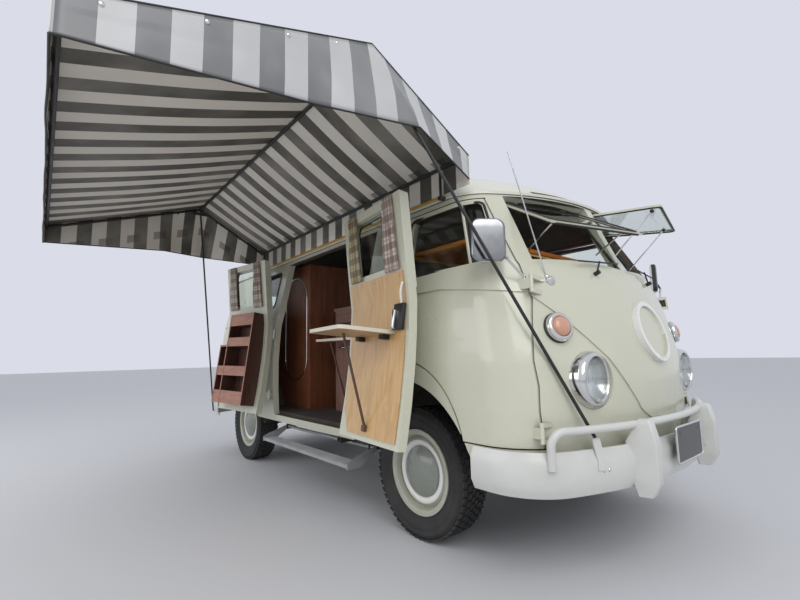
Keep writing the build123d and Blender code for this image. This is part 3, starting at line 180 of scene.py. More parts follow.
def shader_group(name, inputs, outputs):
    """A node group; inputs are (name, type, value), outputs (name, type)."""
    tree = bpy.data.node_groups.new(name, "ShaderNodeTree")
    for label, kind, value in inputs:
        socket = tree.interface.new_socket(label, in_out="INPUT", socket_type="NodeSocket" + kind)
        socket.default_value = value
    for label, kind in outputs:
        tree.interface.new_socket(label, in_out="OUTPUT", socket_type="NodeSocket" + kind)
    entry = tree.nodes.new("NodeGroupInput").outputs
    leave = tree.nodes.new("NodeGroupOutput").inputs
    return tree, entry, leave


def blend_colours(tree, factor, first, second, mode="MIX"):
    """The colour between two others."""
    made = tree.nodes.new("ShaderNodeMix")
    made.data_type = "RGBA"
    made.blend_type = mode
    for key, value in ((0, factor), (6, first), (7, second)):
        if isinstance(value, bpy.types.NodeSocket):
            tree.links.new(value, made.inputs[key])
        else:
            made.inputs[key].default_value = value
    return made.outputs[2]


worn, worn_in, worn_out = shader_group(
    "worn_finish",
    [("Colour", "Color", (1, 1, 1, 1)), ("Worn colour", "Color", (0, 0, 0, 1)), ("Wear", "Float", 0.4),
     ("Cloud scale", "Float", 3.0), ("Fine scale", "Float", 220.0), ("Roughness", "Float", 0.4),
     ("Roughness spread", "Float", 0.12), ("Bump", "Float", 0.05)],
    [("Colour", "Color"), ("Roughness", "Float"), ("Normal", "Vector")],
)
worn_place = put(worn, "TexCoord")["Object"]
worn_cloud = put(worn, "TexNoise", {"Vector": worn_place, "Scale": worn_in["Cloud scale"], "Detail": 5.0})
worn_fine = put(worn, "TexNoise", {"Vector": worn_place, "Scale": worn_in["Fine scale"], "Detail": 2.0})
worn_mask = put(worn, "MapRange", {0: worn_cloud["Fac"], 1: 0.42, 2: 0.75, 3: 0.0, 4: 1.0})
worn_share = put(worn, "Math", {0: worn_mask[0], 1: worn_in["Wear"]}, operation="MULTIPLY")
worn_mix = blend_colours(worn, worn_share[0], worn_in["Colour"], worn_in["Worn colour"])
worn.links.new(worn_mix, worn_out["Colour"])
worn_gloss = put(worn, "MapRange", {0: worn_cloud["Fac"], 1: 0.3, 2: 0.7, 3: -0.5, 4: 0.5})
worn_step = put(worn, "Math", {0: worn_gloss[0], 1: worn_in["Roughness spread"], 2: worn_in["Roughness"]},
                operation="MULTIPLY_ADD")
worn.links.new(worn_step[0], worn_out["Roughness"])
worn_bump = put(worn, "Bump", {"Strength": worn_in["Bump"], "Distance": 0.001, "Height": worn_fine["Fac"]})
worn.links.new(worn_bump[0], worn_out["Normal"])


def worn_material(name, colour, worn_colour, settings=(), **shader):
    """A finish whose colour and gloss vary over it; settings go to the group, the rest to the shader."""
    made = bpy.data.materials.new(name)
    made.use_nodes = True
    tree = made.node_tree
    body = tree.nodes["Principled BSDF"]
    group = tree.nodes.new("ShaderNodeGroup")
    group.node_tree = worn
    group.inputs["Colour"].default_value = colour
    group.inputs["Worn colour"].default_value = worn_colour
    for key, value in dict(settings).items():
        group.inputs[key].default_value = value
    tree.links.new(group.outputs["Colour"], body.inputs["Base Color"])
    tree.links.new(group.outputs["Roughness"], body.inputs["Roughness"])
    tree.links.new(group.outputs["Normal"], body.inputs["Normal"])
    for key, value in shader.items():
        body.inputs[key.replace("_", " ")].default_value = value
    return made


body_paint = worn_material(
    "body_paint", PAINT, PAINT_WORN,
    {"Wear": 0.22, "Cloud scale": 2.2, "Fine scale": 160.0, "Roughness": 0.30, "Roughness spread": 0.14,
     "Bump": 0.04},
    Coat_Weight=0.55, Coat_Roughness=0.06,
)
roof_paint = worn_material(
    "roof_paint", (0.66, 0.65, 0.55, 1), (0.55, 0.53, 0.42, 1),
    {"Wear": 0.3, "Cloud scale": 1.8, "Roughness": 0.36, "Bump": 0.05}, Coat_Weight=0.35, Coat_Roughness=0.12,
)
cabin_lining = worn_material(
    "cabin_lining", (0.105, 0.075, 0.058, 1), (0.15, 0.11, 0.085, 1),
    {"Wear": 0.5, "Cloud scale": 9.0, "Fine scale": 400.0, "Roughness": 0.62, "Bump": 0.25},
)
headliner = worn_material(
    "headliner", (0.16, 0.145, 0.125, 1), (0.11, 0.10, 0.085, 1),
    {"Wear": 0.4, "Cloud scale": 14.0, "Fine scale": 600.0, "Roughness": 0.8, "Bump": 0.35},
)

# Body panels: pressed steel, each a double wall as thick as the whole door or side, welded at
# the real seams. The panels are the construction's own, merged so that their paint shades as
# one sheet, and their cabin side is lined.
SMOOTH_ANGLE = 24
CABIN_MIDDLE = van(0, 0, 0)
SPINE_FRONT, SPINE_REAR = van(1150, 0, 0).x, van(-1250, 0, 0).x
SPINE_LOW, SPINE_HIGH = 0.95, 1.35
JAMB_SHARE = -0.25
SKIN_STEP = 0.001
WELD_STEP, CRUMB = 0.00004, 0.00001


def hinge_turn(joint_name, degrees):
    """The turn of a joint's child from rest, as a matrix."""
    joint = joints[joint_name]
    anchor = Vector(joint["pos_m"])
    turn = Matrix.Rotation(math.radians(degrees), 4, Vector(joint["axis"]))
    return Matrix.Translation(anchor) @ turn @ Matrix.Translation(-anchor)


FRONT_LEAF_TURN, REAR_LEAF_TURN = 173, 171
front_leaf_open = hinge_turn("leaf_front_hinge", FRONT_LEAF_TURN)
rear_leaf_open = hinge_turn("leaf_rear_hinge", REAR_LEAF_TURN)
as_built = Matrix.Identity(4)


def merged(node):
    """A welded copy of a node's mesh."""
    bm = bmesh.new()
    bm.from_mesh(nodes[node].data)
    bmesh.ops.remove_doubles(bm, verts=bm.verts, dist=WELD_STEP)
    bmesh.ops.dissolve_degenerate(bm, edges=bm.edges, dist=CRUMB)
    bm.normal_update()
    return bm


def panel(node, body, outside, inside, opened=as_built, angle=SMOOTH_ANGLE):
    """A body panel with its outside painted, and lined where it faces the cabin behind its own skin."""
    bm = merged(node)
    closed = opened.inverted()
    skin = BVHTree.FromBMesh(bm)
    for face in bm.faces:
        centre = closed @ face.calc_center_median()
        normal = closed.to_3x3() @ face.normal
        spine = Vector((
            min(max(centre.x, SPINE_REAR), SPINE_FRONT), CABIN_MIDDLE.y,
            min(max(centre.z, SPINE_LOW), SPINE_HIGH),
        ))
        outward = (centre - spine).normalized()
        start = opened @ (centre + normal * SKIN_STEP)
        covered = skin.ray_cast(start, opened.to_3x3() @ outward)[0] is not None
        face.material_index = 1 if covered and normal.dot(outward) < JAMB_SHARE else 0
    piece = as_object(node + "_panel", bm, [outside, inside], angle)
    return keep(piece, body, [node])


shells = {}
for node, body, finish, lining in (
    ("body_nose", "root", body_paint, cabin_lining),
    ("body_side_left", "root", body_paint, cabin_lining),
    ("body_side_right", "root", body_paint, cabin_lining),
    ("body_rear", "root", body_paint, cabin_lining),
    ("body_roof", "root", roof_paint, headliner),
    ("cab_door_left", "cab_door_left", body_paint, cabin_lining),
    ("cab_door_right", "root", body_paint, cabin_lining),
    ("tailgate", "tailgate", body_paint, cabin_lining),
    ("engine_lid", "engine_lid", body_paint, body_paint),
):
    slot = "roof_paint" if node == "body_roof" else "body_paint"
    shells[node] = panel(node, body, finish, lining)
for leaf, opened in (("leaf_front", front_leaf_open), ("leaf_rear", rear_leaf_open)):
    shells[leaf] = panel(leaf, leaf, body_paint, body_paint, opened)

# Window rubbers and glass: black rubber channels round each opening, clear panes in them.
RUBBER_RADIUS = 0.007
SEAL_STEPS = 7
rubber = worn_material(
    "window_rubber", (0.018, 0.018, 0.018, 1), (0.05, 0.05, 0.048, 1),
    {"Wear": 0.5, "Cloud scale": 12.0, "Roughness": 0.55, "Bump": 0.1},
)
pane_glass = bpy.data.materials.new("pane_glass")
pane_glass.use_nodes = True
pane_shader = pane_glass.node_tree.nodes["Principled BSDF"]
pane_shader.inputs["Base Color"].default_value = (0.80, 0.86, 0.83, 1)
pane_shader.inputs["Transmission Weight"].default_value = 1.0
pane_shader.inputs["IOR"].default_value = 1.12
pane_shader.inputs["Roughness"].default_value = 0.02
pane_shader.inputs["Coat Weight"].default_value = 0.6
pane_shader.inputs["Coat Roughness"].default_value = 0.02


def finish_node(node, material):
    """Gives a node that keeps its own shape its finish."""
    slots = nodes[node].material_slots
    if not slots:
        nodes[node].data.materials.append(None)
    for place in nodes[node].material_slots:
        place.link = "OBJECT"
        place.material = material


for node in nodes:
    if node.endswith("_glass"):
        finish_node(node, pane_glass)


def rounded_outline(corners, radius, steps=SEAL_STEPS):
    """A closed outline through flat corners, each rounded by an arc."""
    points = []
    count = len(corners)
    for index, corner in enumerate(corners):
        here = Vector(corner)
        before = (Vector(corners[index - 1]) - here).normalized()
        after = (Vector(corners[(index + 1) % count]) - here).normalized()
        half = before.angle(after) / 2
        centre = here + (before + after).normalized() * radius / math.sin(half)
        first = here + before * radius / math.tan(half) - centre
        last = here + after * radius / math.tan(half) - centre
        for step in range(steps + 1):
            points.append(centre + first.lerp(last, step / steps).normalized() * radius)
    return points


def bead(name, points, radius, material, cyclic=True):
    """A round strip along a line of points."""
    data = bpy.data.curves.new(name, "CURVE")
    data.dimensions = "3D"
    data.bevel_depth = radius
    data.bevel_resolution = 2
    data.use_fill_caps = True
    line = data.splines.new("POLY")
    line.points.add(len(points) - 1)
    for point, place in zip(line.points, points):
        point.co = (*place, 1)
    line.use_cyclic_u = cyclic
    data.materials.append(material)
    piece = bpy.data.objects.new(name, data)
    bpy.context.scene.collection.objects.link(piece)
    return piece


def skin_of(shell):
    """A search tree over a panel, for placing trim on it."""
    return BVHTree.FromObject(shells[shell], bpy.context.evaluated_depsgraph_get())


skins = {name: skin_of(name) for name in shells}


# Search lines start clear outside the body, or inside the load space, in millimetres.
FLANK_START, END_START, INNER_START = 1400, 2700, -400


def on_panel(shell, origin, direction, lift=0.0):
    """Where a line meets a panel, lifted off it; None where it misses."""
    hit, normal, _, _ = skins[shell].ray_cast(origin, direction)
    if hit is None:
        return None
    return hit + normal * lift


def on_flank(shell, x, z, side, lift=0.0, opened=as_built):
    """A point of a side panel at a place given in millimetres; side is 1 on the left, -1 on the right."""
    origin = opened @ van(x, side * FLANK_START, z)
    direction = opened.to_3x3() @ Vector((0, -side, 0))
    return on_panel(shell, origin, direction, lift)


def on_end(shell, y, z, ahead):
    """A point of the nose or the tail; ahead is 1 on the nose, -1 on the tail."""
    return on_panel(shell, van(ahead * END_START, y, z), Vector((-ahead, 0, 0)))


WINDOW_MIDDLE, WINDOW_WIDE, WINDOW_HIGH, WINDOW_CORNER = 1500, 430, 300, 45
SEAL_GROW = 5
LEAF_MIDDLES = {"leaf_front": 539.5, "leaf_rear": -73.5}
QUARTER_MIDDLE = -716.5


def flat_window(middle):
    """A side window's outline, a seal's width outside its opening."""
    half_wide, half_high = WINDOW_WIDE / 2 + SEAL_GROW, WINDOW_HIGH / 2 + SEAL_GROW
    rear, front = middle - half_wide, middle + half_wide
    low, high = WINDOW_MIDDLE - half_high, WINDOW_MIDDLE + half_high
    corners = [(rear, low, 0), (front, low, 0), (front, high, 0), (rear, high, 0)]
    return rounded_outline(corners, WINDOW_CORNER + SEAL_GROW)


def seal_on(name, shell, outline, side, body, opened=as_built):
    """A rubber seal round a side window."""
    points = [on_flank(shell, p.x, p.y, side, opened=opened) for p in outline]
    keep(bead(name, [p for p in points if p is not None], RUBBER_RADIUS, rubber), body)


side_windows = [
    ("body_side_left", LEAF_MIDDLES["leaf_front"], 1), ("body_side_left", LEAF_MIDDLES["leaf_rear"], 1),
    ("body_side_left", QUARTER_MIDDLE, 1), ("body_side_right", QUARTER_MIDDLE, -1),
]
for index, (shell, middle, side) in enumerate(side_windows):
    seal_on(f"side_window_rubber_{index}", shell, flat_window(middle), side, "root")
for shell, opened in (("leaf_front", front_leaf_open), ("leaf_rear", rear_leaf_open)):
    seal_on(shell + "_window_rubber", shell, flat_window(LEAF_MIDDLES[shell]), -1, shell, opened)
CAB_WINDOW_REAR, CAB_WINDOW_LOW_FRONT, CAB_WINDOW_TOP_FRONT = 1190, 1790, 1636
CAB_WINDOW_LOW, CAB_WINDOW_TOP, CAB_WINDOW_CORNER = 1345, 1668, 40
cab_corners = [
    (CAB_WINDOW_REAR - SEAL_GROW, CAB_WINDOW_LOW - SEAL_GROW, 0),
    (CAB_WINDOW_LOW_FRONT + 2 * SEAL_GROW, CAB_WINDOW_LOW - SEAL_GROW, 0),
    (CAB_WINDOW_TOP_FRONT + SEAL_GROW, CAB_WINDOW_TOP + SEAL_GROW, 0),
    (CAB_WINDOW_REAR - SEAL_GROW, CAB_WINDOW_TOP + SEAL_GROW, 0),
]
cab_outline = rounded_outline(cab_corners, CAB_WINDOW_CORNER)
seal_on("cab_left_window_rubber", "cab_door_left", cab_outline, 1, "cab_door_left")
seal_on("cab_right_window_rubber", "cab_door_right", cab_outline, -1, "root")
QUARTER_BAR_ENDS, QUARTER_BAR_SUNK = ((1661, 1334), (1541, 1680)), 0.012
QUARTER_BAR_LINES = ((0, 0.0095, body_paint), (0.011, 0.004, rubber))
for hand, side, body in (("left", 1, "cab_door_left"), ("right", -1, "root")):
    foot, head = [on_flank("cab_door_" + hand, x, z, side) - Vector((0, side * QUARTER_BAR_SUNK, 0))
                  for x, z in QUARTER_BAR_ENDS]
    for index, (shift, radius, finish) in enumerate(QUARTER_BAR_LINES):
        ends = [p + Vector((shift, 0, 0)) for p in (foot, head)]
        bar = bead(f"quarter_light_bar_{hand}_{index}", ends, radius, finish, cyclic=False)
        keep(bar, body)
GATE_WINDOW = [(-475, 1340, 0), (475, 1340, 0), (434, 1645, 0), (-434, 1645, 0)]
GATE_WINDOW_CORNER = 64
gate_points = [on_end("tailgate", p.x, p.y, -1) for p in rounded_outline(GATE_WINDOW, GATE_WINDOW_CORNER)]
keep(bead("tailgate_window_rubber", [p for p in gate_points if p], RUBBER_RADIUS, rubber), "tailgate")

# Bright metal, black frame paint and white bumper paint, each used by several pieces below.
chrome = worn_material(
    "chrome", (0.72, 0.72, 0.71, 1), (0.45, 0.45, 0.44, 1),
    {"Wear": 0.35, "Cloud scale": 18.0, "Roughness": 0.14, "Roughness spread": 0.12, "Bump": 0.03},
    Metallic=1.0,
)
black_tube_paint = worn_material(
    "black_tube_paint", (0.012, 0.012, 0.012, 1), (0.05, 0.045, 0.04, 1),
    {"Wear": 0.35, "Cloud scale": 20.0, "Roughness": 0.42, "Bump": 0.1},
)
chassis_black = worn_material(
    "chassis_black", (0.022, 0.021, 0.020, 1), (0.07, 0.055, 0.045, 1),
    {"Wear": 0.6, "Cloud scale": 7.0, "Roughness": 0.72, "Bump": 0.3},
)
bumper_white = worn_material(
    "bumper_white", (0.62, 0.62, 0.585, 1), (0.46, 0.45, 0.40, 1),
    {"Wear": 0.35, "Cloud scale": 6.0, "Roughness": 0.36, "Roughness spread": 0.12, "Bump": 0.05},
    Coat_Weight=0.3, Coat_Roughness=0.12,
)


def whole(node, body, material, angle=SMOOTH_ANGLE):
    """A node's own shape, welded and shaded smooth, in one finish."""
    piece = as_object(node + "_shape", merged(node), [material], angle)
    return keep(piece, body, [node])


for node in ("chassis_frame", "front_axle"):
    whole(node, "root", chassis_black)
for side in ("left", "right"):
    whole("knuckle_" + side, "knuckle_" + side, chassis_black)
engine_grey = worn_material(
    "engine_grey", (0.09, 0.09, 0.09, 1), (0.04, 0.035, 0.03, 1),
    {"Wear": 0.7, "Cloud scale": 5.0, "Roughness": 0.6, "Bump": 0.4}, Metallic=0.4,
)
whole("rear_axle", "root", engine_grey)
whole("engine_block", "root", engine_grey)
whole("awning_frame", "root", black_tube_paint, 40)
floor_mat = worn_material(
    "floor_mat", (0.055, 0.048, 0.042, 1), (0.10, 0.09, 0.08, 1),
    {"Wear": 0.6, "Cloud scale": 8.0, "Fine scale": 500.0, "Roughness": 0.8, "Bump": 0.5},
)
whole("floor", "root", floor_mat)
whole("dashboard", "root", body_paint)

# Awning cloth: striped vinyl sewn from bands that run over the slopes, with a hanging valance
# outside, a short skirt into the gutter and a gable cloth at each end, drawn out over the
# corner strut. It is stretched over the black tubes and sags a little between them.
CANOPY_FRONT, CANOPY_REAR = 1616, -921
CANOPY_COLUMNS = 84
CANOPY_PATH = [
    (-744, 1758, 4), (-743, 1903, 18), (-1325, 2226, 28), (-2347, 1898, 6), (-2347, 1771, 0),
]
CANOPY_SAG = 11
RIPPLE_ALONG, RIPPLE_DOWN = 260, 420
SLOPE_RIPPLE, VALANCE_RIPPLE, SCALLOP, SCALLOP_COUNT = 3.5, 5, 4, 14
BAND_WIDE = 0.090
CLOTH_THICK = 0.0022
SEAM_PLACES = ((0.174, 0.028),)
# Painted shadow: where the cloth is doubled, the second layer's stripes darken the first's as light through the
# cloth would show them.
SEAM_SHADOW = (0.42, 0.40, 0.37, 1)
FRONT_GABLE = [
    ((-2346, 1897), (1616, -2346, 1772)), ((-1663, 2116), (1618, -1586, 1859)),
    ((-1325, 2226), (1723, -1164, 1864)), ((-745, 1902), (1619, -749, 1782)),
]
REAR_GABLE = [
    ((-2346, 1897), (-921, -2346, 1774)), ((-1663, 2116), (-922, -1586, 1817)),
    ((-1325, 2226), (-1128, -1235, 1842)), ((-745, 1902), (-924, -749, 1788)),
]
GABLE_SHARES = (0.0, 0.4, 0.6, 1.0)
GABLE_COLUMNS, GABLE_ROWS = 60, 14
GABLE_FOLD_WIDE, GABLE_FOLD_LONG, GABLE_FOLD_DEEP = 70, 210, 9
GABLE_SLACK_END, GABLE_SLACK_RATE = 0.6, 1.6


def bands_of(tree, attribute, wide, share=0.5, start=0.0):
    """1 inside evenly repeated bands of a mesh attribute that counts metres, 0 between them."""
    place = put(tree, "Attribute", attribute_name=attribute)["Fac"]
    moved = put(tree, "Math", {0: place, 1: start}, operation="ADD")
    turns = put(tree, "Math", {0: moved[0], 1: wide}, operation="DIVIDE")
    part = put(tree, "Math", {0: turns[0]}, operation="FRACT")
    return put(tree, "Math", {0: part[0], 1: share}, operation="LESS_THAN")[0]


def near_place(tree, attribute, centre, half):
    """1 within half a width of one place along a mesh attribute."""
    place = put(tree, "Attribute", attribute_name=attribute)["Fac"]
    away = put(tree, "Math", {0: place, 1: centre}, operation="SUBTRACT")
    size = put(tree, "Math", {0: away[0]}, operation="ABSOLUTE")
    return put(tree, "Math", {0: size[0], 1: half}, operation="LESS_THAN")[0]


def recolour(material, colour):
    """Feeds a colour socket into a worn finish."""
    material.node_tree.links.new(colour, material.node_tree.nodes["Group"].inputs["Colour"])
    return material


def striped(name, pale, dark, roughness, coat, seams=()):
    """Striped awning cloth, doubled at its seams, where a second layer's stripes are multiplied over the first's
    as a painted shadow.
    """
    made = worn_material(
        name, pale, tuple(0.72 * c for c in pale[:3]) + (1,),
        {"Wear": 0.45, "Cloud scale": 2.6, "Fine scale": 900.0, "Roughness": roughness, "Bump": 0.18},
        Coat_Weight=coat, Coat_Roughness=0.25,
    )
    tree = made.node_tree
    colour = blend_colours(tree, bands_of(tree, "band", 2 * BAND_WIDE), pale, dark)
    for centre, half in seams:
        near = near_place(tree, "run", centre, half)
        over = put(tree, "Math", {0: near, 1: bands_of(tree, "band", 2 * BAND_WIDE, 0.5, BAND_WIDE / 2)},
                   operation="MULTIPLY")
        colour = blend_colours(tree, over[0], colour, SEAM_SHADOW, "MULTIPLY")
    return recolour(made, colour)


canopy_outside = striped("canopy_outside", (0.50, 0.50, 0.49, 1), (0.165, 0.165, 0.165, 1), 0.38, 0.3)
# The inside is the same cloth with a duller, cotton-like face; its warmer and brighter colours paint the warm
# bounce light under the awning and lift it against the shade there.
canopy_inside = striped("canopy_inside", (0.76, 0.71, 0.63, 1), (0.088, 0.083, 0.067, 1), 0.62, 0.0,
                        SEAM_PLACES)


def cloth_grid(name, columns, rows, place, materials, thickness=CLOTH_THICK):
    """A sheet of cloth; place(column share, row share) gives a point and its two cloth coordinates."""
    bm = bmesh.new()
    bmesh.ops.create_grid(bm, x_segments=columns, y_segments=rows, size=0.5)
    band = bm.verts.layers.float.new("band")
    run = bm.verts.layers.float.new("run")
    for vert in bm.verts:
        vert.co, vert[band], vert[run] = place(vert.co.x + 0.5, vert.co.y + 0.5)
    bm.normal_update()
    area = sum(face.calc_area() for face in bm.faces)
    piece = as_object(name, bm, materials, 180)
    solid = piece.modifiers.new("thickness", "SOLIDIFY")
    solid.thickness = thickness
    solid.offset = 0
    solid.material_offset = len(materials) - 1
    return piece, area


def path_rows(path):
    """Points (y, z, length so far, share of its run, run number) down a path, in rows between its corners."""
    points = []
    length = 0
    for number, (first, second) in enumerate(zip(path, path[1:])):
        run = math.hypot(second[0] - first[0], second[1] - first[1])
        for row in range(first[2]):
            share = row / first[2]
            y = first[0] + (second[0] - first[0]) * share
            z = first[1] + (second[1] - first[1]) * share
            points.append((y, z, length + run * share, share, number))
        length += run
    points.append((path[-1][0], path[-1][1], length, 1.0, len(path) - 2))
    return points


canopy_rows = path_rows(CANOPY_PATH)


def canopy_place(u, v):
    """The main sheet: sagging slopes, straight skirts."""
    y, z, length, share, number = canopy_rows[round(v * (len(canopy_rows) - 1))]
    x = CANOPY_REAR + (CANOPY_FRONT - CANOPY_REAR) * u
    ripple = noise.noise(Vector((x / RIPPLE_ALONG, length / RIPPLE_DOWN, 0.3)))
    middle = 1 - (2 * u - 1) ** 6
    if number in (1, 2):
        arc = math.sin(math.pi * share)
        z -= (CANOPY_SAG * arc + SLOPE_RIPPLE * (ripple + 0.5) * arc) * middle
    elif number == 3:
        y -= VALANCE_RIPPLE * ripple * share * middle
        z += SCALLOP * share * math.sin(math.pi * SCALLOP_COUNT * u) ** 2
    return van(x, y, z), x / 1000, length / 1000


canopy, canopy_area = cloth_grid("awning_cloth", CANOPY_COLUMNS, len(canopy_rows) - 1, canopy_place,
                                 [canopy_inside, canopy_outside])
keep(canopy, "root", ["awning_canopy"])


def along_knots(knots, shares, share):
    """A value between knots, read at a share."""
    for low, high, first, second in zip(shares, shares[1:], knots, knots[1:]):
        if share <= high:
            part = (share - low) / (high - low)
            return [a + (b - a) * part for a, b in zip(first, second)]
    return list(knots[-1])


def gable_sheet(name, knots, out, edge_x):
    """An end cloth from the slopes' edge to its own lower edge, over the strut; out is 1 in front."""
    tops = [(edge_x, *top) for top, _ in knots]
    lows = [low for _, low in knots]

    def place(u, v):
        top, low = along_knots(tops, GABLE_SHARES, u), along_knots(lows, GABLE_SHARES, u)
        x, y, z = [b + (a - b) * v for a, b in zip(top, low)]
        fold_place = (y / GABLE_FOLD_WIDE + 0.3 * z / GABLE_FOLD_WIDE, z / GABLE_FOLD_LONG, 2.0 * out)
        fold = noise.noise(Vector(fold_place)) + 0.5
        if v < GABLE_SLACK_END:
            slack = math.sin(math.pi * u) * math.sin(math.pi * min(v * GABLE_SLACK_RATE, 1.0))
        else:
            slack = 1 - v
        x += out * GABLE_FOLD_DEEP * max(fold, 0) * slack
        return van(x, y, z), y / 1000, (top[2] - z) / 1000

    sheet, area = cloth_grid(name, GABLE_COLUMNS, GABLE_ROWS, place, [canopy_outside, canopy_inside][::out])
    keep(sheet, "root")
    wide = math.dist(tops[0], tops[-1]) / 1000


gable_sheet("awning_gable_front", FRONT_GABLE, 1, CANOPY_FRONT)
gable_sheet("awning_gable_rear", REAR_GABLE, -1, CANOPY_REAR)

# Awning edging: black piping sewn along the cloth's borders, and bright press studs set in a row
# under the slopes' edge of both gables.
piping = worn_material("awning_piping", (0.015, 0.015, 0.015, 1), (0.05, 0.05, 0.05, 1), {"Roughness": 0.5})
PIPING_RADIUS, PIPING_STEPS = 0.0035, 30
for label, x in (("front", CANOPY_FRONT), ("rear", CANOPY_REAR)):
    edge = [van(x, y, z + 2) for y, z, _, _, number in canopy_rows if number in (1, 2)]
    keep(bead("awning_piping_" + label, edge, PIPING_RADIUS, piping, cyclic=False), "root")
valance_edge = [canopy_place(step / CANOPY_COLUMNS, 1.0)[0] for step in range(CANOPY_COLUMNS + 1)]
keep(bead("awning_piping_valance", valance_edge, PIPING_RADIUS, piping, cyclic=False), "root")
for label, knots in (("front", FRONT_GABLE), ("rear", REAR_GABLE)):
    lows = [low for _, low in knots]
    edge = [van(*along_knots(lows, GABLE_SHARES, step / PIPING_STEPS)) for step in range(PIPING_STEPS + 1)]
    gable_piping = bead("awning_piping_gable_" + label, edge, PIPING_RADIUS, piping, cyclic=False)
    keep(gable_piping, "root")


PROFILE_WELD = 0.00002


def turned(name, rings, place, direction, materials, steps=40, smooth=40):
    """A round piece: profiles of (radius, height) in millimetres, one per material, spun about a line."""
    bm = bmesh.new()
    for index, profile in enumerate(rings):
        before = len(bm.faces)
        verts = [bm.verts.new((r / 1000, 0, h / 1000)) for r, h in profile]
        edges = [bm.edges.new(pair) for pair in zip(verts, verts[1:])]
        bmesh.ops.spin(bm, geom=verts + edges, cent=(0, 0, 0), axis=(0, 0, 1), angle=2 * math.pi,
                       steps=steps, use_merge=True)
        bm.faces.ensure_lookup_table()
        for face in bm.faces[before:]:
            face.material_index = index
    bmesh.ops.remove_doubles(bm, verts=bm.verts, dist=PROFILE_WELD)
    bmesh.ops.dissolve_degenerate(bm, edges=bm.edges, dist=CRUMB)
    bmesh.ops.recalc_face_normals(bm, faces=bm.faces)
    turn = Vector(direction).to_track_quat("Z", "Y").to_matrix().to_4x4()
    bmesh.ops.transform(bm, matrix=Matrix.Translation(place) @ turn, verts=bm.verts)
    return as_object(name, bm, materials, smooth)


STUD = [(0, 4), (5, 3.4), (8, 1.5), (9, -1), (0, -1)]
STUD_SHARES = (0.06, 0.22, 0.38, 0.5, 0.7, 0.84, 0.95)
STUD_OUT, STUD_DOWN, STUD_STEPS = 3, 22, 16
for label, knots, out in (("front", FRONT_GABLE, 1), ("rear", REAR_GABLE, -1)):
    for index, share in enumerate(STUD_SHARES):
        top = along_knots([t for t, _ in knots], GABLE_SHARES, share)
        edge_x = CANOPY_FRONT if out > 0 else CANOPY_REAR
        place = van(edge_x + out * STUD_OUT, top[0], top[1] - STUD_DOWN)
        stud = turned(f"awning_stud_{label}_{index}", [STUD], place, (out, 0, 0), [chrome], STUD_STEPS)
        keep(stud, "root")

# Curtains: gathered checked cotton on a wire beside each leaf's window, flaring towards the hem.
CURTAIN_TOP, CURTAIN_LOW = 1688, 1326
CURTAIN_WIDE_TOP, CURTAIN_WIDE_LOW, CURTAIN_SIDE = 96, 134, 190
CURTAIN_FOLDS, CURTAIN_FULLNESS, CURTAIN_THICK = 5, 1.7, 0.0012
CURTAIN_OFF, CURTAIN_FOLD_DEEP = 0.0105, 0.0065
CURTAIN_CLEAR = {"leaf_front": 800, "leaf_rear": -335}
CHECK_COVER, CHECK_WIDE = 0.62, 0.068


def checked(name, ground, first, second):
    """Woven checks: two crossing sets of soft bands over a ground colour."""
    made = worn_material(name, ground, ground, {"Fine scale": 900.0, "Roughness": 0.85, "Bump": 0.2})
    tree = made.node_tree
    colour = ground
    for attribute in ("band", "run"):
        cover = put(tree, "Math", {0: bands_of(tree, attribute, CHECK_WIDE), 1: CHECK_COVER}, operation="MULTIPLY")
        colour = blend_colours(tree, cover[0], colour, first)
        fine_line = bands_of(tree, attribute, CHECK_WIDE, 0.1, 0.3 * CHECK_WIDE)
        line = put(tree, "Math", {0: fine_line, 1: CHECK_COVER}, operation="MULTIPLY")
        colour = blend_colours(tree, line[0], colour, second)
    return recolour(made, colour)


green_check = checked("curtain_green", (0.52, 0.47, 0.33, 1), (0.125, 0.08, 0.045, 1), (0.42, 0.34, 0.10, 1))
brown_check = checked("curtain_brown", (0.66, 0.62, 0.56, 1), (0.15, 0.075, 0.05, 1), (0.34, 0.20, 0.13, 1))


def curtain(name, leaf, opened, middle, material):
    """One gathered curtain, hung inside a leaf at a place along the van."""
    closed = opened.inverted()
    levels = {}

    def lining_y(z):
        """How far across the leaf's inner face lies at a height, found once for each."""
        if z not in levels:
            start = opened @ van(CURTAIN_CLEAR[leaf], INNER_START, z)
            levels[z] = (closed @ on_panel(leaf, start, opened.to_3x3() @ Vector((0, -1, 0)))).y
        return levels[z]

    def place(u, v):
        z = CURTAIN_LOW + (CURTAIN_TOP - CURTAIN_LOW) * v
        wide = CURTAIN_WIDE_LOW + (CURTAIN_WIDE_TOP - CURTAIN_WIDE_LOW) * v
        fold = math.sin(2 * math.pi * CURTAIN_FOLDS * u + 0.8 * math.sin(5 * v))
        point = van(middle + wide * (u - 0.5) + 4 * fold * (1 - v), 0, z)
        point.y = lining_y(round(z, 2)) + CURTAIN_OFF + CURTAIN_FOLD_DEEP * fold * (1.15 - 0.35 * v)
        return opened @ point, CURTAIN_FULLNESS * CURTAIN_WIDE_LOW * u / 1000, z / 1000

    cloth, area = cloth_grid(name, 14 * CURTAIN_FOLDS, 12, place, [material], CURTAIN_THICK)
    keep(cloth, leaf, [leaf + "_curtains"])


for leaf, opened in (("leaf_front", front_leaf_open), ("leaf_rear", rear_leaf_open)):
    for side in (-1, 1):
        cloth = green_check if leaf == "leaf_front" and side > 0 else brown_check
        curtain(f"{leaf}_curtain_{'rear' if side < 0 else 'front'}", leaf, opened,
                LEAF_MIDDLES[leaf] + side * CURTAIN_SIDE, cloth)

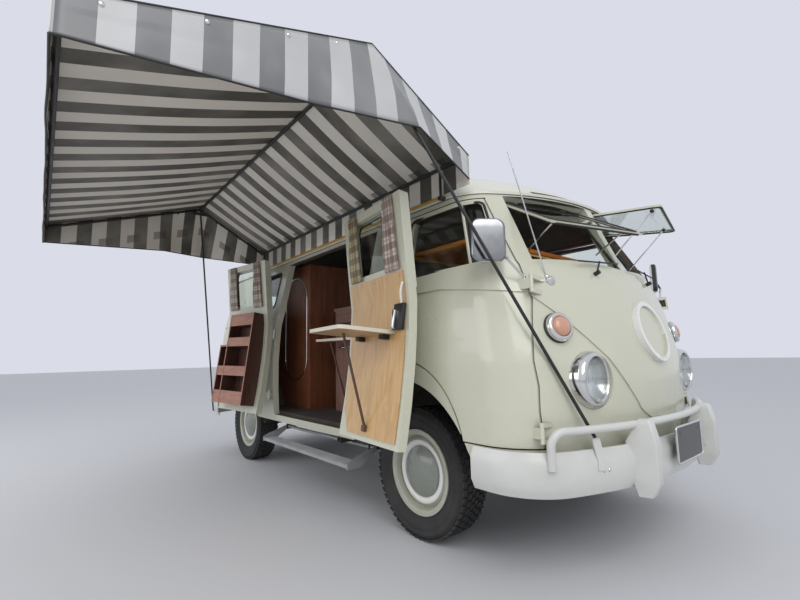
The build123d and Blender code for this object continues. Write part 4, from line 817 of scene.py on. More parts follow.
# Wood and board: grain drawn out along one direction, used by the plywood lining, the rack, the
# tables and the cupboards.
def grained(name, light, dark, stretch, settings=(), **shader):
    """Wood whose grain runs along the axis with the smallest stretch."""
    base = {"Wear": 0.3, "Fine scale": 260.0, "Bump": 0.08}
    made = worn_material(name, light, dark, {**base, **dict(settings)}, **shader)
    tree = made.node_tree
    place = put(tree, "TexCoord")["Object"]
    drawn = put(tree, "Mapping", {"Vector": place, "Scale": stretch})
    waves = put(tree, "TexNoise", {"Vector": drawn[0], "Scale": 3.0, "Detail": 6.0, "Distortion": 1.4})
    share = put(tree, "MapRange", {0: waves["Fac"], 1: 0.38, 2: 0.66, 3: 0.0, 4: 1.0})
    return recolour(made, blend_colours(tree, share[0], light, dark))


def dressed(node, body, materials, choose, angle=SMOOTH_ANGLE):
    """A node's own shape, welded, with a finish chosen for each face from its centre and normal."""
    bm = merged(node)
    for face in bm.faces:
        face.material_index = choose(face.calc_center_median(), face.normal)
    return keep(as_object(node + "_shape", bm, materials, angle), body, [node])


plywood = grained("plywood", (0.66, 0.42, 0.17, 1), (0.54, 0.31, 0.11, 1), (9, 9, 0.8), {"Roughness": 0.33},
                  Coat_Weight=0.5, Coat_Roughness=0.15)
plywood_edge = grained("plywood_edge", (0.50, 0.33, 0.17, 1), (0.33, 0.20, 0.10, 1), (60, 60, 60))
red_wood = grained("red_wood", (0.245, 0.085, 0.036, 1), (0.165, 0.052, 0.022, 1), (10, 10, 0.9),
                   {"Roughness": 0.48}, Coat_Weight=0.12, Coat_Roughness=0.3)
rack_front = grained("rack_front", (0.42, 0.20, 0.135, 1), (0.31, 0.14, 0.095, 1), (0.9, 10, 10),
                     {"Roughness": 0.5})
dark_wood = grained("dark_wood", (0.085, 0.035, 0.022, 1), (0.05, 0.02, 0.013, 1), (9, 9, 1.2),
                    {"Roughness": 0.42})
mauve_board = grained("mauve_board", (0.27, 0.145, 0.11, 1), (0.20, 0.10, 0.078, 1), (8, 8, 0.8),
                      {"Roughness": 0.4}, Coat_Weight=0.25)
table_cream = worn_material("table_cream", (0.72, 0.66, 0.54, 1), (0.60, 0.52, 0.40, 1), {"Roughness": 0.3})
table_tan = grained("table_tan", (0.52, 0.36, 0.21, 1), (0.43, 0.28, 0.15, 1), (1, 12, 12))
oiled_brown = worn_material("oiled_brown", (0.10, 0.05, 0.03, 1), (0.06, 0.03, 0.02, 1), {"Roughness": 0.4})

# The front leaf's varnished plywood lining, with its row of small screws, a white pull strap and
# the black lock case beside the leaf's free edge.
front_leaf_turn = front_leaf_open.to_3x3()
dressed("leaf_front_liner", "leaf_front", [plywood, plywood_edge],
        lambda centre, normal: 0 if abs((front_leaf_turn.inverted() @ normal).y) > 0.6 else 1)


def leaf_face(leaf, opened, x, z, lift):
    """A place on a leaf's inner face, lifted off it in millimetres, and the way the face looks."""
    inward = opened.to_3x3() @ Vector((0, 1, 0))
    hit = on_panel(leaf, opened @ van(x, INNER_START, z), -inward)
    return hit + inward * lift / 1000, inward


SCREW = [(0, 1.6), (3, 1.3), (4.2, 0), (4.2, -2)]
LINER_FACE = 6.6
LINER_SCREW_PLACES = (
    (290, 530), (540, 530), (740, 530), (290, 800), (790, 800), (290, 1060),
    (790, 1060), (290, 1295), (420, 1295), (540, 1295), (670, 1295), (790, 1295),
)
for index, (x, z) in enumerate(LINER_SCREW_PLACES):
    place, out = leaf_face("leaf_front", front_leaf_open, x, z, LINER_FACE)
    keep(turned(f"liner_screw_{index}", [SCREW], place, out, [chrome], 12), "leaf_front")


def block(name, size, matrix, material, body, round_by=0.0):
    """A small box with softened edges, its size in millimetres."""
    bm = bmesh.new()
    bmesh.ops.create_cube(bm, size=1, matrix=matrix @ Matrix.Diagonal((*[s / 1000 for s in size], 1)))
    if round_by:
        bmesh.ops.bevel(bm, geom=bm.edges[:], offset=round_by / 1000, segments=2, profile=0.5, affect="EDGES")
    return keep(as_object(name, bm, [material], SMOOTH_ANGLE + 12), body)


def leaf_matrix(leaf, opened, x, z, lift):
    """A frame on a leaf's inner face: x along the leaf, y off the face, z up."""
    place, _ = leaf_face(leaf, opened, x, z, lift)
    return Matrix.Translation(place) @ opened.to_3x3().to_4x4()


lock_black = worn_material("lock_black", (0.02, 0.02, 0.02, 1), (0.10, 0.09, 0.08, 1), {"Roughness": 0.38},
                           Metallic=0.5)
webbing = worn_material("white_webbing", (0.78, 0.77, 0.72, 1), (0.6, 0.58, 0.5, 1), {"Roughness": 0.8})
LOCK_SIZE, LOCK_PLACE = (84, 20, 128), (300, 1100, LINER_FACE + 10)
LOCK_HANDLE_SIZE, LOCK_HANDLE_PLACE = (22, 20, 92), (318, 1086, LINER_FACE + 28)
LOCK_EDGE = 5
STRAP_X, STRAP_Z, STRAP_LEAN, STRAP_DROP, STRAP_BOW, STRAP_STEPS = 268, 1262, 2, 14, 14, 8
block("lock_case", LOCK_SIZE, leaf_matrix("leaf_front", front_leaf_open, *LOCK_PLACE), lock_black,
      "leaf_front", LOCK_EDGE)
block("lock_handle", LOCK_HANDLE_SIZE, leaf_matrix("leaf_front", front_leaf_open, *LOCK_HANDLE_PLACE), chrome,
      "leaf_front", LOCK_EDGE)
strap_points = [
    leaf_face("leaf_front", front_leaf_open, STRAP_X + STRAP_LEAN * step, STRAP_Z - STRAP_DROP * step,
              LINER_FACE + 3 + STRAP_BOW * math.sin(math.pi * step / STRAP_STEPS))[0]
    for step in range(STRAP_STEPS + 1)
]
keep(bead("pull_strap", strap_points, 0.006, webbing, cyclic=False), "leaf_front")

# The rear leaf's shelf rack: boards screwed together and hung inside the leaf, with dark stained
# ends, reddish fronts and raw tan edges.
rear_leaf_turn = rear_leaf_open.to_3x3().inverted()
rear_leaf_shut = rear_leaf_open.inverted()
RACK_FRONT_Y = -726


def rack_finish(centre, normal):
    """Chooses between dark board, reddish front and raw upper edge."""
    out = rear_leaf_turn @ normal
    if out.y > 0.8:
        return 1 if (rear_leaf_shut @ centre).y > van(0, RACK_FRONT_Y, 0).y else 0
    return 2 if out.z > 0.8 and (rear_leaf_shut @ centre).y > van(0, RACK_FRONT_Y, 0).y else 0


dressed("leaf_rear_rack", "leaf_rear", [dark_wood, rack_front, plywood_edge], rack_finish)

# The two flap tables: cream laminate with a tan underside, dark hinge blocks and a brown prop. The
# finish of each face follows its depth below the plane of the table's top.
TABLE_BOARD_DEPTH, TABLE_HINGE_DEPTH = 0.021, 0.055


def table_finish(node):
    """Chooses between top and edges, underside, hinge block and prop."""
    top = max((face for face in nodes[node].data.polygons if face.normal.z > 0.9), key=lambda face: face.area)
    level, up = top.center.copy(), top.normal.copy()

    def choose(centre, normal):
        depth = (level - centre).dot(up)
        if depth < TABLE_BOARD_DEPTH:
            return 1 if normal.dot(up) < -0.8 else 0
        return 2 if depth < TABLE_HINGE_DEPTH else 3

    return choose


for node, body in (("leaf_front_table", "leaf_front"), ("inner_table", "root")):
    dressed(node, body, [table_cream, table_tan, lock_black, oiled_brown], table_finish(node))

# Furniture inside: wardrobe with a bright oval trim on its door, the cupboard under the counter
# with drawer lines, pulls and a towel bar, and the half-height bulkhead behind the cab.
whole("wardrobe", "root", red_wood)
WARDROBE_FACE, TRIM_CORNER, TRIM_STEPS = -599, 190, 12
TRIM_CORNERS = [(-744, 742, 0), (-342, 742, 0), (-342, 1619, 0), (-744, 1619, 0)]
trim = [van(p.x, WARDROBE_FACE, p.y) for p in rounded_outline(TRIM_CORNERS, TRIM_CORNER, TRIM_STEPS)]
keep(bead("wardrobe_trim", trim, 0.006, chrome), "root")
whole("kitchen_cabinet", "root", mauve_board)
GROOVE = 0.0016
CUPBOARD_FACE, PULL_OUT, BAR_OUT = -490, -512, -530
CUPBOARD_FRONTS = (
    (-40, 250, 560, 1020), (270, 560, 560, 1020), (580, 840, 560, 880),
    (580, 840, 900, 1060), (580, 840, 1080, 1240), (-40, 560, 1090, 1260),
)
PULL_PLACES = ((60, 1000), (420, 1000), (710, 860), (710, 1040), (710, 1220))
PULL_FOOT, PULL_GRIP = 40, 34
BAR_REAR, BAR_FRONT, BAR_HEIGHT = 0, 500, 1180
# The door and drawer lines are dark beads that paint the shade in the grooves between the fronts.
for index, (x0, x1, z0, z1) in enumerate(CUPBOARD_FRONTS):
    corners = [(x0, z0, 0), (x1, z0, 0), (x1, z1, 0), (x0, z1, 0)]
    line = [van(p.x, CUPBOARD_FACE, p.y) for p in rounded_outline(corners, 10, 3)]
    keep(bead(f"cupboard_line_{index}", line, GROOVE, dark_wood), "root")
for index, (x, z) in enumerate(PULL_PLACES):
    pull = [van(x - PULL_FOOT, CUPBOARD_FACE, z), van(x - PULL_GRIP, PULL_OUT, z),
            van(x + PULL_GRIP, PULL_OUT, z), van(x + PULL_FOOT, CUPBOARD_FACE, z)]
    keep(bead(f"cupboard_pull_{index}", pull, 0.005, chrome, cyclic=False), "root")
towel_bar = [van(BAR_REAR, CUPBOARD_FACE, BAR_HEIGHT), van(BAR_REAR, BAR_OUT, BAR_HEIGHT),
             van(BAR_FRONT, BAR_OUT, BAR_HEIGHT), van(BAR_FRONT, CUPBOARD_FACE, BAR_HEIGHT)]
keep(bead("towel_bar", towel_bar, 0.006, chrome, cyclic=False), "root")
whole("cab_partition", "root", mauve_board)
gold_batten = grained("gold_batten", (0.72, 0.42, 0.06, 1), (0.55, 0.29, 0.04, 1), (0.8, 10, 10),
                      {"Roughness": 0.3}, Coat_Weight=0.5)
whole("awning_rail", "root", gold_batten)

# Cushions: the cab bench, its back and the rear bench are foam blocks in ribbed cloth, and the
# cab bunk is an orange canvas mattress on two wooden bars.
def pad(name, low, high, puff, materials):
    """A stuffed block between two corners in millimetres, its faces swollen by puff."""
    bm = bmesh.new()
    bmesh.ops.create_cube(bm, size=2)
    bmesh.ops.subdivide_edges(bm, edges=bm.edges[:], cuts=11, use_grid_fill=True)
    middle = [(a + b) / 2 for a, b in zip(low, high)]
    half = [(b - a) / 2 - puff for a, b in zip(low, high)]
    corner = min(half) * 0.55
    for vert in bm.verts:
        share = vert.co.copy()
        out = Vector([max(abs(s) * h - (h - corner), 0) * (1 if s > 0 else -1) for s, h in zip(share, half)])
        flat = Vector([min(max(s * h, corner - h), h - corner) for s, h in zip(share, half)])
        if out.length > 0:
            out = out.normalized() * corner
        swell = math.prod(1 - abs(s) ** 4 if abs(s) < 1 else 1 for s in share)
        vert.co = van(*(Vector(middle) + flat + out * (1 + puff * swell / corner)))
    bm.normal_update()
    cushion = as_object(name, bm, materials, 180)
    return cushion


seat_cloth = worn_material("seat_cloth", (0.19, 0.165, 0.14, 1), (0.12, 0.10, 0.085, 1),
                           {"Wear": 0.4, "Cloud scale": 6.0, "Fine scale": 700.0, "Roughness": 0.9, "Bump": 0.4})
orange_canvas = worn_material(
    "orange_canvas", (0.78, 0.24, 0.035, 1), (0.62, 0.17, 0.025, 1),
    {"Wear": 0.4, "Cloud scale": 7.0, "Fine scale": 700.0, "Roughness": 0.8, "Bump": 0.3},
)
FOAM, MATTRESS = 0.85, 0.7
for name, low, high, puff, finish, fill, slot, stands_for in (
    ("cab_seat_base", (1010, -700, 828), (1470, 700, 960), 8, seat_cloth, FOAM, "seat_cloth",
     ["seat_cushions"]),
    ("cab_seat_back", (946, -700, 961), (1030, 700, 1330), 6, seat_cloth, FOAM, "seat_cloth", ()),
    ("rear_seat_base", (-1470, -560, 949), (-930, 560, 1050), 8, seat_cloth, FOAM, "seat_cloth", ()),
    ("cab_bunk_mattress", (1062, -640, 1500), (1560, 640, 1531), 3, orange_canvas, MATTRESS, "orange_cloth",
     ["cab_bunk"]),
):
    keep(pad(name, low, high, puff, [finish]), "root", stands_for)
BUNK_BAR_SIZE, BUNK_BAR_HEIGHT, BUNK_BAR_PLACES, BUNK_BAR_EDGE = (44, 1290, 16), 1494, (1088, 1530), 3
for index, x in enumerate(BUNK_BAR_PLACES):
    bar = Matrix.Translation(van(x, 0, BUNK_BAR_HEIGHT))
    block(f"cab_bunk_bar_{index}", BUNK_BAR_SIZE, bar, gold_batten, "root", BUNK_BAR_EDGE)

# Tyres: black chunky road tyres, moulded in one piece. A smooth carcass with ribbed walls is spun
# about the axle and carries six rows of slanted tread blocks.
TYRE_BLOCKS = 54
BLOCK_LONG, BLOCK_DEEP, BLOCK_SKEW = 0.027, 0.0095, 14
BLOCK_RADIUS, SHOULDER_DROP, SHOULDER_FROM = 324.5, 2.2, 60
tyre_rubber = worn_material(
    "tyre_rubber", (0.022, 0.022, 0.022, 1), (0.06, 0.057, 0.052, 1),
    {"Wear": 0.55, "Cloud scale": 9.0, "Fine scale": 380.0, "Roughness": 0.78, "Bump": 0.25},
)
TYRE_WALL = [(200.3, 63.7), (214, 64), (222, 71), (226, 70), (240, 79), (262, 87.4), (264, 88.6), (270, 89),
             (272, 88), (290, 88.5), (292, 89.8), (300, 89.2), (303, 86), (314, 80), (321, 68), (322.5, 30)]
tyre_profile = TYRE_WALL + [(r, -h) for r, h in reversed(TYRE_WALL)]
BLOCK_ROWS = [(-69, 24, 0.5), (-38, 26, 0.0), (-13, 20, 0.5), (13, 20, 0.0), (38, 26, 0.5), (69, 24, 0.0)]
for end, x in (("front", AXLE_PLACE), ("rear", -AXLE_PLACE)):
    for hand, side in (("left", 1), ("right", -1)):
        name = f"{end}_{hand}"
        hub = van(x, side * HUB_SIDE, HUB_HEIGHT)
        tyre = turned(f"tyre_{name}_carcass", [tyre_profile], hub, (0, side, 0), [tyre_rubber], 72, 50)
        keep(tyre, "wheel_" + name, ["tyre_" + name])
        tread = bmesh.new()
        for across, wide, shift in BLOCK_ROWS:
            for step in range(TYRE_BLOCKS):
                turn = Matrix.Rotation(2 * math.pi * (step + shift) / TYRE_BLOCKS, 4, "Y")
                drop = SHOULDER_DROP if abs(across) > SHOULDER_FROM else 0
                lie = Matrix.Translation(Vector((0, across / 1000, (BLOCK_RADIUS - drop) / 1000)))
                skew = Matrix.Rotation(math.radians(BLOCK_SKEW if across > 0 else -BLOCK_SKEW), 4, "Z")
                shape = Matrix.Diagonal((BLOCK_LONG, wide / 1000, BLOCK_DEEP, 1))
                bmesh.ops.create_cube(tread, size=1, matrix=Matrix.Translation(hub) @ turn @ lie @ skew @ shape)
        blocks = as_object(f"tyre_{name}_tread", tread, [tyre_rubber])
        keep(blocks, "wheel_" + name)

# Wheels: pressed steel, painted pale, with a white ring and a grey-green domed cap snapped over
# the hub. The finish of each face follows its distance from the axle.
CAP_RADIUS, RING_RADIUS = 126, 160
# Painted shade: the caps' grey-green is darkened for the shade that falls on them.
cap_green_painted_shade = worn_material("cap_green_painted_shade", (0.235, 0.25, 0.215, 1), (0.17, 0.178, 0.15, 1),
                          {"Wear": 0.3, "Cloud scale": 8.0, "Roughness": 0.28}, Coat_Weight=0.5)
ring_white = worn_material("ring_white", (0.78, 0.78, 0.74, 1), (0.6, 0.59, 0.53, 1), {"Roughness": 0.3},
                           Coat_Weight=0.4)
rim_pale = worn_material("rim_pale", (0.44, 0.44, 0.36, 1), (0.30, 0.29, 0.23, 1),
                         {"Wear": 0.45, "Cloud scale": 9.0, "Roughness": 0.4}, Coat_Weight=0.3)


def wheel_finish(hub):
    """Chooses between cap, ring and rim by the distance from the axle."""
    def choose(centre, normal):
        away = math.hypot(centre.x - hub.x, centre.z - hub.z) * 1000
        if away < CAP_RADIUS:
            return 0
        return 1 if away < RING_RADIUS else 2

    return choose


for end, x in (("front", AXLE_PLACE), ("rear", -AXLE_PLACE)):
    for hand, side in (("left", 1), ("right", -1)):
        name = f"wheel_{end}_{hand}"
        dressed(name, name, [cap_green_painted_shade, ring_white, rim_pale],
                wheel_finish(van(x, side * HUB_SIDE, HUB_HEIGHT)), 30)

# Headlights: a chrome bezel on the nose holds a silvered bowl with a small shield, and a fluted,
# domed clear lens. All are spun about the lamp's axis.
HEADLIGHT_SEAT = (1985, 517, 815)
LAMP_STEPS = 56
lamp_glass = bpy.data.materials.new("lamp_glass")
lamp_glass.use_nodes = True
lamp_tree = lamp_glass.node_tree
lamp_shader = lamp_tree.nodes["Principled BSDF"]
lamp_shader.inputs["Base Color"].default_value = (0.92, 0.95, 0.95, 1)
lamp_shader.inputs["Transmission Weight"].default_value = 1.0
lamp_shader.inputs["IOR"].default_value = 1.3
lamp_shader.inputs["Roughness"].default_value = 0.05
flute_place = put(lamp_tree, "TexCoord")["Object"]
flutes = put(lamp_tree, "TexWave", {"Vector": flute_place, "Scale": 42.0}, bands_direction="Y")
flute_bump = put(lamp_tree, "Bump", {"Strength": 0.35, "Distance": 0.002, "Height": flutes["Fac"]})
lamp_tree.links.new(flute_bump[0], lamp_shader.inputs["Normal"])
silver_bowl = worn_material("silver_bowl", (0.80, 0.80, 0.78, 1), (0.6, 0.6, 0.58, 1), {"Roughness": 0.16},
                            Metallic=1.0)
BEZEL = [(120, 0), (120, 58), (117, 73), (110, 82), (104, 84.5), (98, 84), (93, 76), (93, 70)]
BOWL = [(93, 72), (80, 56), (58, 34), (34, 20), (16, 15), (0, 14)]
SHIELD = [(0, 46), (12, 44), (17, 36), (17, 32), (4, 18)]
LENS = [(0, 100), (30, 98.2), (58, 93), (78, 84.5), (92, 75), (92, 71), (78, 80.5), (58, 89), (30, 94.2),
        (0, 96)]
for hand, side in (("left", 1), ("right", -1)):
    seat = van(HEADLIGHT_SEAT[0], side * HEADLIGHT_SEAT[1], HEADLIGHT_SEAT[2])
    lamp = turned(f"headlight_{hand}", [BEZEL, BOWL, SHIELD], seat, (1, 0, 0), [chrome, silver_bowl, chrome],
                  LAMP_STEPS)
    keep(lamp, "root", ["headlights"] if side < 0 else ())
    lens = turned(f"headlight_lens_{hand}", [LENS], seat, (1, 0, 0), [lamp_glass], LAMP_STEPS)
    keep(lens, "root")

# Turn lamps: black gasket, chrome ring and a peach-amber fluted lens; the rear lamps are the same
# kind with red lenses. Each stands square to the panel it is screwed on.
def skin_frame(shell, y, z, ahead):
    """A place on the nose or the tail and the way the panel looks there."""
    hit, normal, _, _ = skins[shell].ray_cast(van(ahead * END_START, y, z), Vector((-ahead, 0, 0)))
    return hit, normal if normal.x * ahead > 0 else -normal


def lens_material(name, colour, glow):
    """Fluted plastic that lets a little light through, with a faint painted glow of its own colour."""
    made = worn_material(name, colour, colour, {"Roughness": 0.22, "Wear": 0.0}, Coat_Weight=0.8,
                         Subsurface_Weight=0.35, Subsurface_Radius=(0.02, 0.008, 0.004))
    tree = made.node_tree
    place = put(tree, "TexCoord")["Object"]
    rings = put(tree, "TexWave", {"Vector": place, "Scale": 55.0}, bands_direction="Z")
    bump = put(tree, "Bump", {"Strength": 0.3, "Distance": 0.0015, "Height": rings["Fac"]})
    tree.links.new(bump[0], tree.nodes["Principled BSDF"].inputs["Normal"])
    # Painted glow: a faint emission in the lens colour, though the lamps are off.
    tree.nodes["Principled BSDF"].inputs["Emission Color"].default_value = glow
    tree.nodes["Principled BSDF"].inputs["Emission Strength"].default_value = 0.03
    return made


peach_lens = lens_material("peach_lens", (0.56, 0.29, 0.19, 1), (1, 0.5, 0.3, 1))
red_lens = lens_material("red_lens", (0.55, 0.02, 0.015, 1), (1, 0.05, 0.03, 1))
LAMP_GASKET = [(66, -12), (66, 7), (62, 9)]
LAMP_RING = [(62, 9), (63.5, 20), (60, 29), (53, 33), (46, 32), (43, 26)]
LAMP_LENS = [(43, 26), (41, 35), (34, 42), (22, 46.5), (9, 48.5), (0, 49)]
SIGNAL_LAMPS = (("body_nose", 637, 1034, 1, peach_lens), ("body_rear", 700, 880, -1, red_lens))
for shell, y, z, ahead, lens in SIGNAL_LAMPS:
    for hand, side in (("left", 1), ("right", -1)):
        place, out = skin_frame(shell, side * y, z, ahead)
        lamp = turned(f"{'turn' if ahead > 0 else 'tail'}_lamp_{hand}", [LAMP_GASKET, LAMP_RING, LAMP_LENS],
                      place, out, [rubber, chrome, lens], 44)
        keep(lamp, "root", ["signal_lamps"] if (ahead, side) == (1, 1) else ())

# Nose medallion: a plain dished disc in body colour inside a raised ring, pressed in one piece and fixed flat on
# the nose. The ring, body-coloured on the van, is finished white as a painted highlight of its lighter raised
# edges.
MEDALLION_PLACE, MEDALLION_RING = van(0, 0, 1023), 0.1275


def medallion_finish(centre, normal):
    """Chooses between disc and ring by the distance from the middle."""
    away = math.hypot(centre.y - MEDALLION_PLACE.y, centre.z - MEDALLION_PLACE.z)
    return 1 if away > MEDALLION_RING else 0


# The outer ring takes the white ring finish as a painted highlight.
dressed("nose_medallion", "root", [body_paint, ring_white], medallion_finish, 40)

# Bumpers: pressed steel in white enamel. The blank front plate is dark in a bright frame, and two
# screws hold the awning strut's bracket on the blade.
front_bumper = whole("front_bumper", "root", bumper_white, 30)
skins["front_bumper"] = BVHTree.FromObject(front_bumper, bpy.context.evaluated_depsgraph_get())
whole("rear_bumper", "root", bumper_white, 30)
plate_dark = worn_material("plate_dark", (0.02, 0.022, 0.024, 1), (0.05, 0.05, 0.05, 1), {"Roughness": 0.35},
                           Coat_Weight=0.4)
finish_node("plate_front", plate_dark)
PLATE_FACE, PLATE_CORNER = 2218, 12
PLATE_CORNERS = [(-157, 441, 0), (157, 441, 0), (157, 594, 0), (-157, 594, 0)]
plate_line = [van(PLATE_FACE, p.x, p.y) for p in rounded_outline(PLATE_CORNERS, PLATE_CORNER)]
keep(bead("plate_frame", plate_line, 0.005, chrome), "root")
BRACKET_SCREW = [(0, 5), (4, 4.5), (7, 2), (8, 0), (8, -3)]
BRACKET_SCREW_PLACES, BRACKET_SCREW_HEIGHT = (-583, -556), 470
for index, y in enumerate(BRACKET_SCREW_PLACES):
    place, out = skin_frame("front_bumper", y, BRACKET_SCREW_HEIGHT, 1)
    keep(turned(f"bracket_screw_{index}", [BRACKET_SCREW], place, out, [chrome], 16), "root")

# Mirrors: bright pressed cases with a black rubber edge, on chromed stays that leave the cab doors' upper hinges.
# The cases' chrome is darkened to paint the dark surroundings they reflect.
MIRROR_STAY_TOP, MIRROR_EDGE = 1.316, 0.45
MIRROR_TURNS = (("left", 1, 25, "cab_door_left"), ("right", -1, 36, "root"))
# Painted dark reflection: the cases' chrome is darker than the stays'.
mirror_chrome_dark_reflection = worn_material(
    "mirror_chrome_dark_reflection", (0.30, 0.305, 0.31, 1), (0.20, 0.20, 0.20, 1),
    {"Wear": 0.4, "Cloud scale": 14.0, "Roughness": 0.16, "Bump": 0.03}, Metallic=1.0,
)


def mirror_finish(facing):
    """Chooses between stay, rubber edge and case."""
    def choose(centre, normal):
        if centre.z < MIRROR_STAY_TOP:
            return 0
        return 1 if abs(normal.dot(facing)) < MIRROR_EDGE else 2

    return choose


for hand, side, turn, body in MIRROR_TURNS:
    facing = Vector((math.cos(math.radians(turn)), side * math.sin(math.radians(turn)), 0))
    dressed("mirror_" + hand, body, [chrome, rubber, mirror_chrome_dark_reflection], mirror_finish(facing), 40)

# Wipers: black arms and blades at the windscreens' foot. The antenna is a bright whip on an oval
# base, screwed to the nose at the right windscreen's foot.
ANTENNA_SIDE = van(0, -540, 0).y
ANTENNA_FOOT = (-600, 1246)
ANTENNA_BASE = [(0, 26), (9, 25), (14, 18), (20, 7), (24, 3), (25, -6)]
dressed("wipers_antenna", "root", [black_tube_paint, chrome],
        lambda centre, normal: 1 if centre.y < ANTENNA_SIDE else 0, 40)
antenna_place, antenna_out = skin_frame("body_nose", *ANTENNA_FOOT, 1)
antenna_base = turned("antenna_base", [ANTENNA_BASE], antenna_place, antenna_out, [chrome], 24)
keep(antenna_base, "root")

# Windscreens: both panes stand open in body-coloured frames with black rubber all round, and the
# apertures in the nose have their own black seals. Each frame is held by a stay with a knob.
SCREEN_POINTS = ((1640, 565, 1690), (1775, 24, 1690), (1985, 24, 1342), (1864, 640, 1342))
SCREEN_SWING = {-1: 30, 1: 55}
SCREEN_FRAME_IN = 21
SCREEN_LINES = ((0.010, SCREEN_FRAME_IN + 8, 0.0055), (0.0, SCREEN_FRAME_IN - 6, 0.006))
APERTURE_IN, APERTURE_SUNK, APERTURE_CORNER, APERTURE_RADIUS = 3, 0.002, 0.03, 0.008
STAY_SHARES, STAY_LOW, STAY_HIGH = (0.12, 0.88), (0.72, 0.28), (0.86, 0.14)
STAY_SUNK, STAY_RADIUS = 0.012, 0.004
KNOB = [(0, 14), (8, 13), (10, 7), (10, -7), (8, -13), (0, -14)]
whole("screen_frames", "root", body_paint, 40)
for hand, side in (("left", 1), ("right", -1)):
    corners = [van(x, side * y, z) for x, y, z in SCREEN_POINTS]
    normal = (corners[1] - corners[0]).cross(corners[2] - corners[0]).normalized()
    normal = normal if normal.x > 0 else -normal
    corners = [p - normal * (p - corners[0]).dot(normal) for p in corners]
    middle = sum(corners, Vector()) / 4
    along = (corners[1] - corners[0]).normalized()
    swing = Matrix.Rotation(math.radians(SCREEN_SWING[side]), 4, along)
    if (corners[0] + swing.to_3x3() @ (middle - corners[0])).x < middle.x:
        swing = Matrix.Rotation(-math.radians(SCREEN_SWING[side]), 4, along)
    swung = Matrix.Translation(corners[0]) @ swing @ Matrix.Translation(-corners[0])
    aperture = [p + (middle - p).normalized() * APERTURE_IN / 1000 - normal * APERTURE_SUNK for p in corners]
    seal = rounded_outline(aperture, APERTURE_CORNER)
    keep(bead(f"screen_aperture_seal_{hand}", seal, APERTURE_RADIUS, rubber), "root")
    for lift, inset, radius in SCREEN_LINES:
        line = [swung @ (p + (middle - p).normalized() * inset / 1000 + normal * lift) for p in corners]
        edge = rounded_outline(line, 0.028)
        keep(bead(f"screen_rubber_{hand}_{int(lift * 1000)}", edge, radius, rubber), "root")
    for index, share in enumerate(STAY_SHARES):
        foot_line, head_line = corners[3].lerp(corners[2], share), corners[0].lerp(corners[1], share)
        low = foot_line * STAY_LOW[0] + head_line * STAY_LOW[1] - normal * STAY_SUNK
        high = swung @ (foot_line * STAY_HIGH[0] + head_line * STAY_HIGH[1])
        stay = bead(f"screen_stay_{hand}_{index}", [low, high], STAY_RADIUS, chrome, cyclic=False)
        keep(stay, "root")
        knob = turned(f"screen_knob_{hand}_{index}", [KNOB], high, along, [rubber], 16)
        keep(knob, "root")

# The raised lips of the rear wheel arches, pressed into the body sides and painted with them. Each
# is a bead that follows the arch over the side panel.
ARCH_LIP, ARCH_FIRST, ARCH_LAST, ARCH_STEPS = 487, 14, 166, 40
ARCH_LIFT, ARCH_BEAD, FLANK_FROM = 0.001, 0.008, 0.7
for hand, side in (("left", 1), ("right", -1)):
    places = []
    for step in range(ARCH_STEPS + 1):
        turn = math.radians(ARCH_FIRST + (ARCH_LAST - ARCH_FIRST) * step / ARCH_STEPS)
        where = (-AXLE_PLACE + ARCH_LIP * math.cos(turn), HUB_HEIGHT + ARCH_LIP * math.sin(turn))
        hit = on_flank("body_side_" + hand, *where, side, ARCH_LIFT)
        if hit is not None and abs(hit.y - van(0, 0, 0).y) > FLANK_FROM:
            places.append(hit)
    keep(bead(f"arch_lip_rear_{hand}", places, ARCH_BEAD, body_paint, cyclic=False), "root")

# Roof intake: slots pressed under the roof's front overhang, above the windscreens, drawn as black beads that
# paint the shade inside the slots.
SLOT_HEIGHTS, SLOT_FIRST, SLOT_STEP, SLOT_COUNT = (1752, 1762, 1772), 40, 30, 12
vent_slot_shade = worn_material("vent_slot_shade", (0.008, 0.008, 0.008, 1), (0.02, 0.02, 0.02, 1), {"Roughness": 0.7})
for row, z in enumerate(SLOT_HEIGHTS):
    for hand, side in (("left", 1), ("right", -1)):
        line = [on_end("body_roof", side * (SLOT_FIRST + SLOT_STEP * step), z, 1)
                for step in range(SLOT_COUNT)]
        line = [p for p in line if p is not None]
        if len(line) > 2:
            keep(bead(f"roof_slot_{hand}_{row}", line, 0.0028, vent_slot_shade, cyclic=False), "root")

# Step: two folding steel arms and a tread of pale ribbed metal, grey with use. Its ribs are beads
# along the tread.
step_grey = worn_material("step_grey", (0.42, 0.43, 0.43, 1), (0.25, 0.25, 0.245, 1),
                          {"Wear": 0.6, "Cloud scale": 9.0, "Roughness": 0.42, "Bump": 0.12}, Metallic=0.45)
whole("step", "step", step_grey, 40)
STEP_RIBS, RIB_FIRST, RIB_SPREAD, RIB_RADIUS = 7, -929, 78, 0.0028
TREAD_REAR, TREAD_FRONT, TREAD_TOP = -392, 792, 322.5
for index in range(STEP_RIBS):
    y = RIB_FIRST + index * RIB_SPREAD / (STEP_RIBS - 1)
    ends = [van(TREAD_REAR, y, TREAD_TOP), van(TREAD_FRONT, y, TREAD_TOP)]
    keep(bead(f"step_rib_{index}", ends, RIB_RADIUS, step_grey, cyclic=False), "step")

# Handles: chromed lever on the left cab door, T handles on the engine lid and the tailgate, and
# the cargo leaf's outer handle.
LEFT_HANDLE, LEAF_HANDLE, END_HANDLE_UP = (1180, 1120), (290, 1060), 55
NECK = 0.03


def lever(name, body, place, out, along, reach=0.012, length=0.13):
    """A door handle: a rose, a neck and a lever."""
    along = Vector(along).normalized()
    out = Vector(out).normalized()
    keep(turned(name + "_rose", [[(0, 9), (12, 8), (17, 3), (18, -3)]], place, out, [chrome], 24), body)
    points = [place, place + out * NECK, place + out * (NECK + reach) + along * 0.02,
              place + out * (NECK + reach) + along * length]
    keep(bead(name + "_lever", points, 0.0065, chrome, cyclic=False), body)


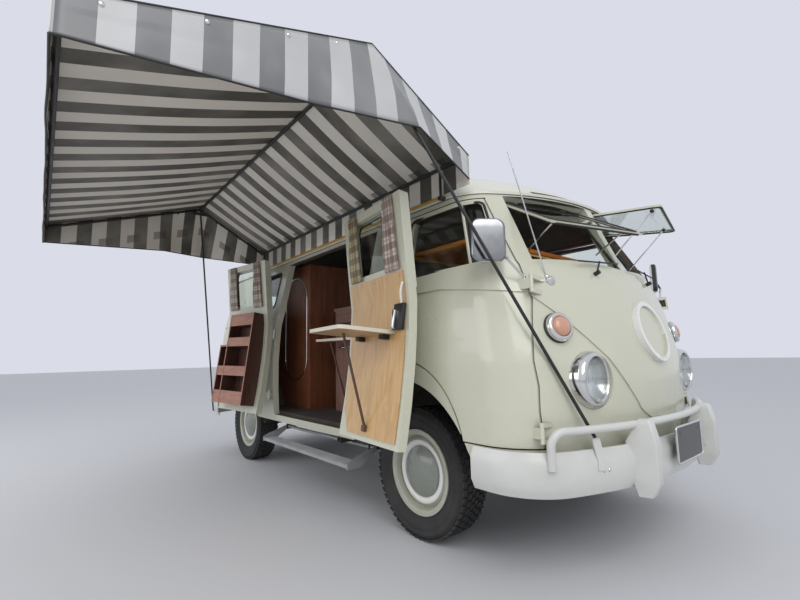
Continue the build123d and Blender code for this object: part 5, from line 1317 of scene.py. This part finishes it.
lever("left_door_handle", "cab_door_left", on_flank("cab_door_left", *LEFT_HANDLE, 1), (0, 1, 0),
      (1, 0, -0.05))
for name, shell in (("engine_lid_handle", "engine_lid"), ("tailgate_handle", "tailgate")):
    place, out = skin_frame(shell, 0, 1000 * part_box(shell)[0][2] + END_HANDLE_UP, -1)
    lever(name, shell, place, out, (0, 1, 0), 0.004, 0.05)
leaf_out = front_leaf_open.to_3x3() @ Vector((0, -1, 0))
lever("leaf_handle", "leaf_front", on_flank("leaf_front", *LEAF_HANDLE, -1, opened=front_leaf_open), leaf_out,
      front_leaf_open.to_3x3() @ Vector((1, 0, 0)))

# Cab fittings: thin black steering wheel, one round dial in the body-coloured dashboard and a
# gear lever between the feet.
steering_black = worn_material("steering_black", (0.02, 0.02, 0.02, 1), (0.05, 0.05, 0.05, 1),
                               {"Roughness": 0.25}, Coat_Weight=0.5)
whole("steering_wheel", "root", steering_black, 40)
dash_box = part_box("dashboard")
DIAL = [(0, 1), (44, 1)]
DIAL_RING = [(44, 1), (47, 5), (51, 6), (53, 0)]
dial_face = worn_material("dial_face", (0.03, 0.03, 0.03, 1), (0.08, 0.08, 0.08, 1), {"Roughness": 0.2},
                          Coat_Weight=0.8)
DIAL_SIDE, DIAL_HEIGHT = 370, 1308
dial_place = Vector((dash_box[0][0] - 0.001, van(0, DIAL_SIDE, 0).y, van(0, 0, DIAL_HEIGHT).z))
speed_dial = turned("speed_dial", [DIAL, DIAL_RING], dial_place, (-1, 0, 0), [dial_face, chrome], 32)
keep(speed_dial, "root")
GEAR_ROD, GEAR_ROD_RADIUS = ((1560, 0, 514), (1565, 0, 640), (1585, 10, 780)), 0.007
GEAR_KNOB, GEAR_KNOB_PLACE = [(0, 22), (12, 18), (17, 6), (13, -8), (8, -14)], (1585, 10, 786)
gear_rod = [van(*place) for place in GEAR_ROD]
keep(bead("gear_lever", gear_rod, GEAR_ROD_RADIUS, steering_black, cyclic=False), "root")
gear_knob = turned("gear_knob", [GEAR_KNOB], van(*GEAR_KNOB_PLACE), (0, 0, 1), [steering_black], 20)
keep(gear_knob, "root")
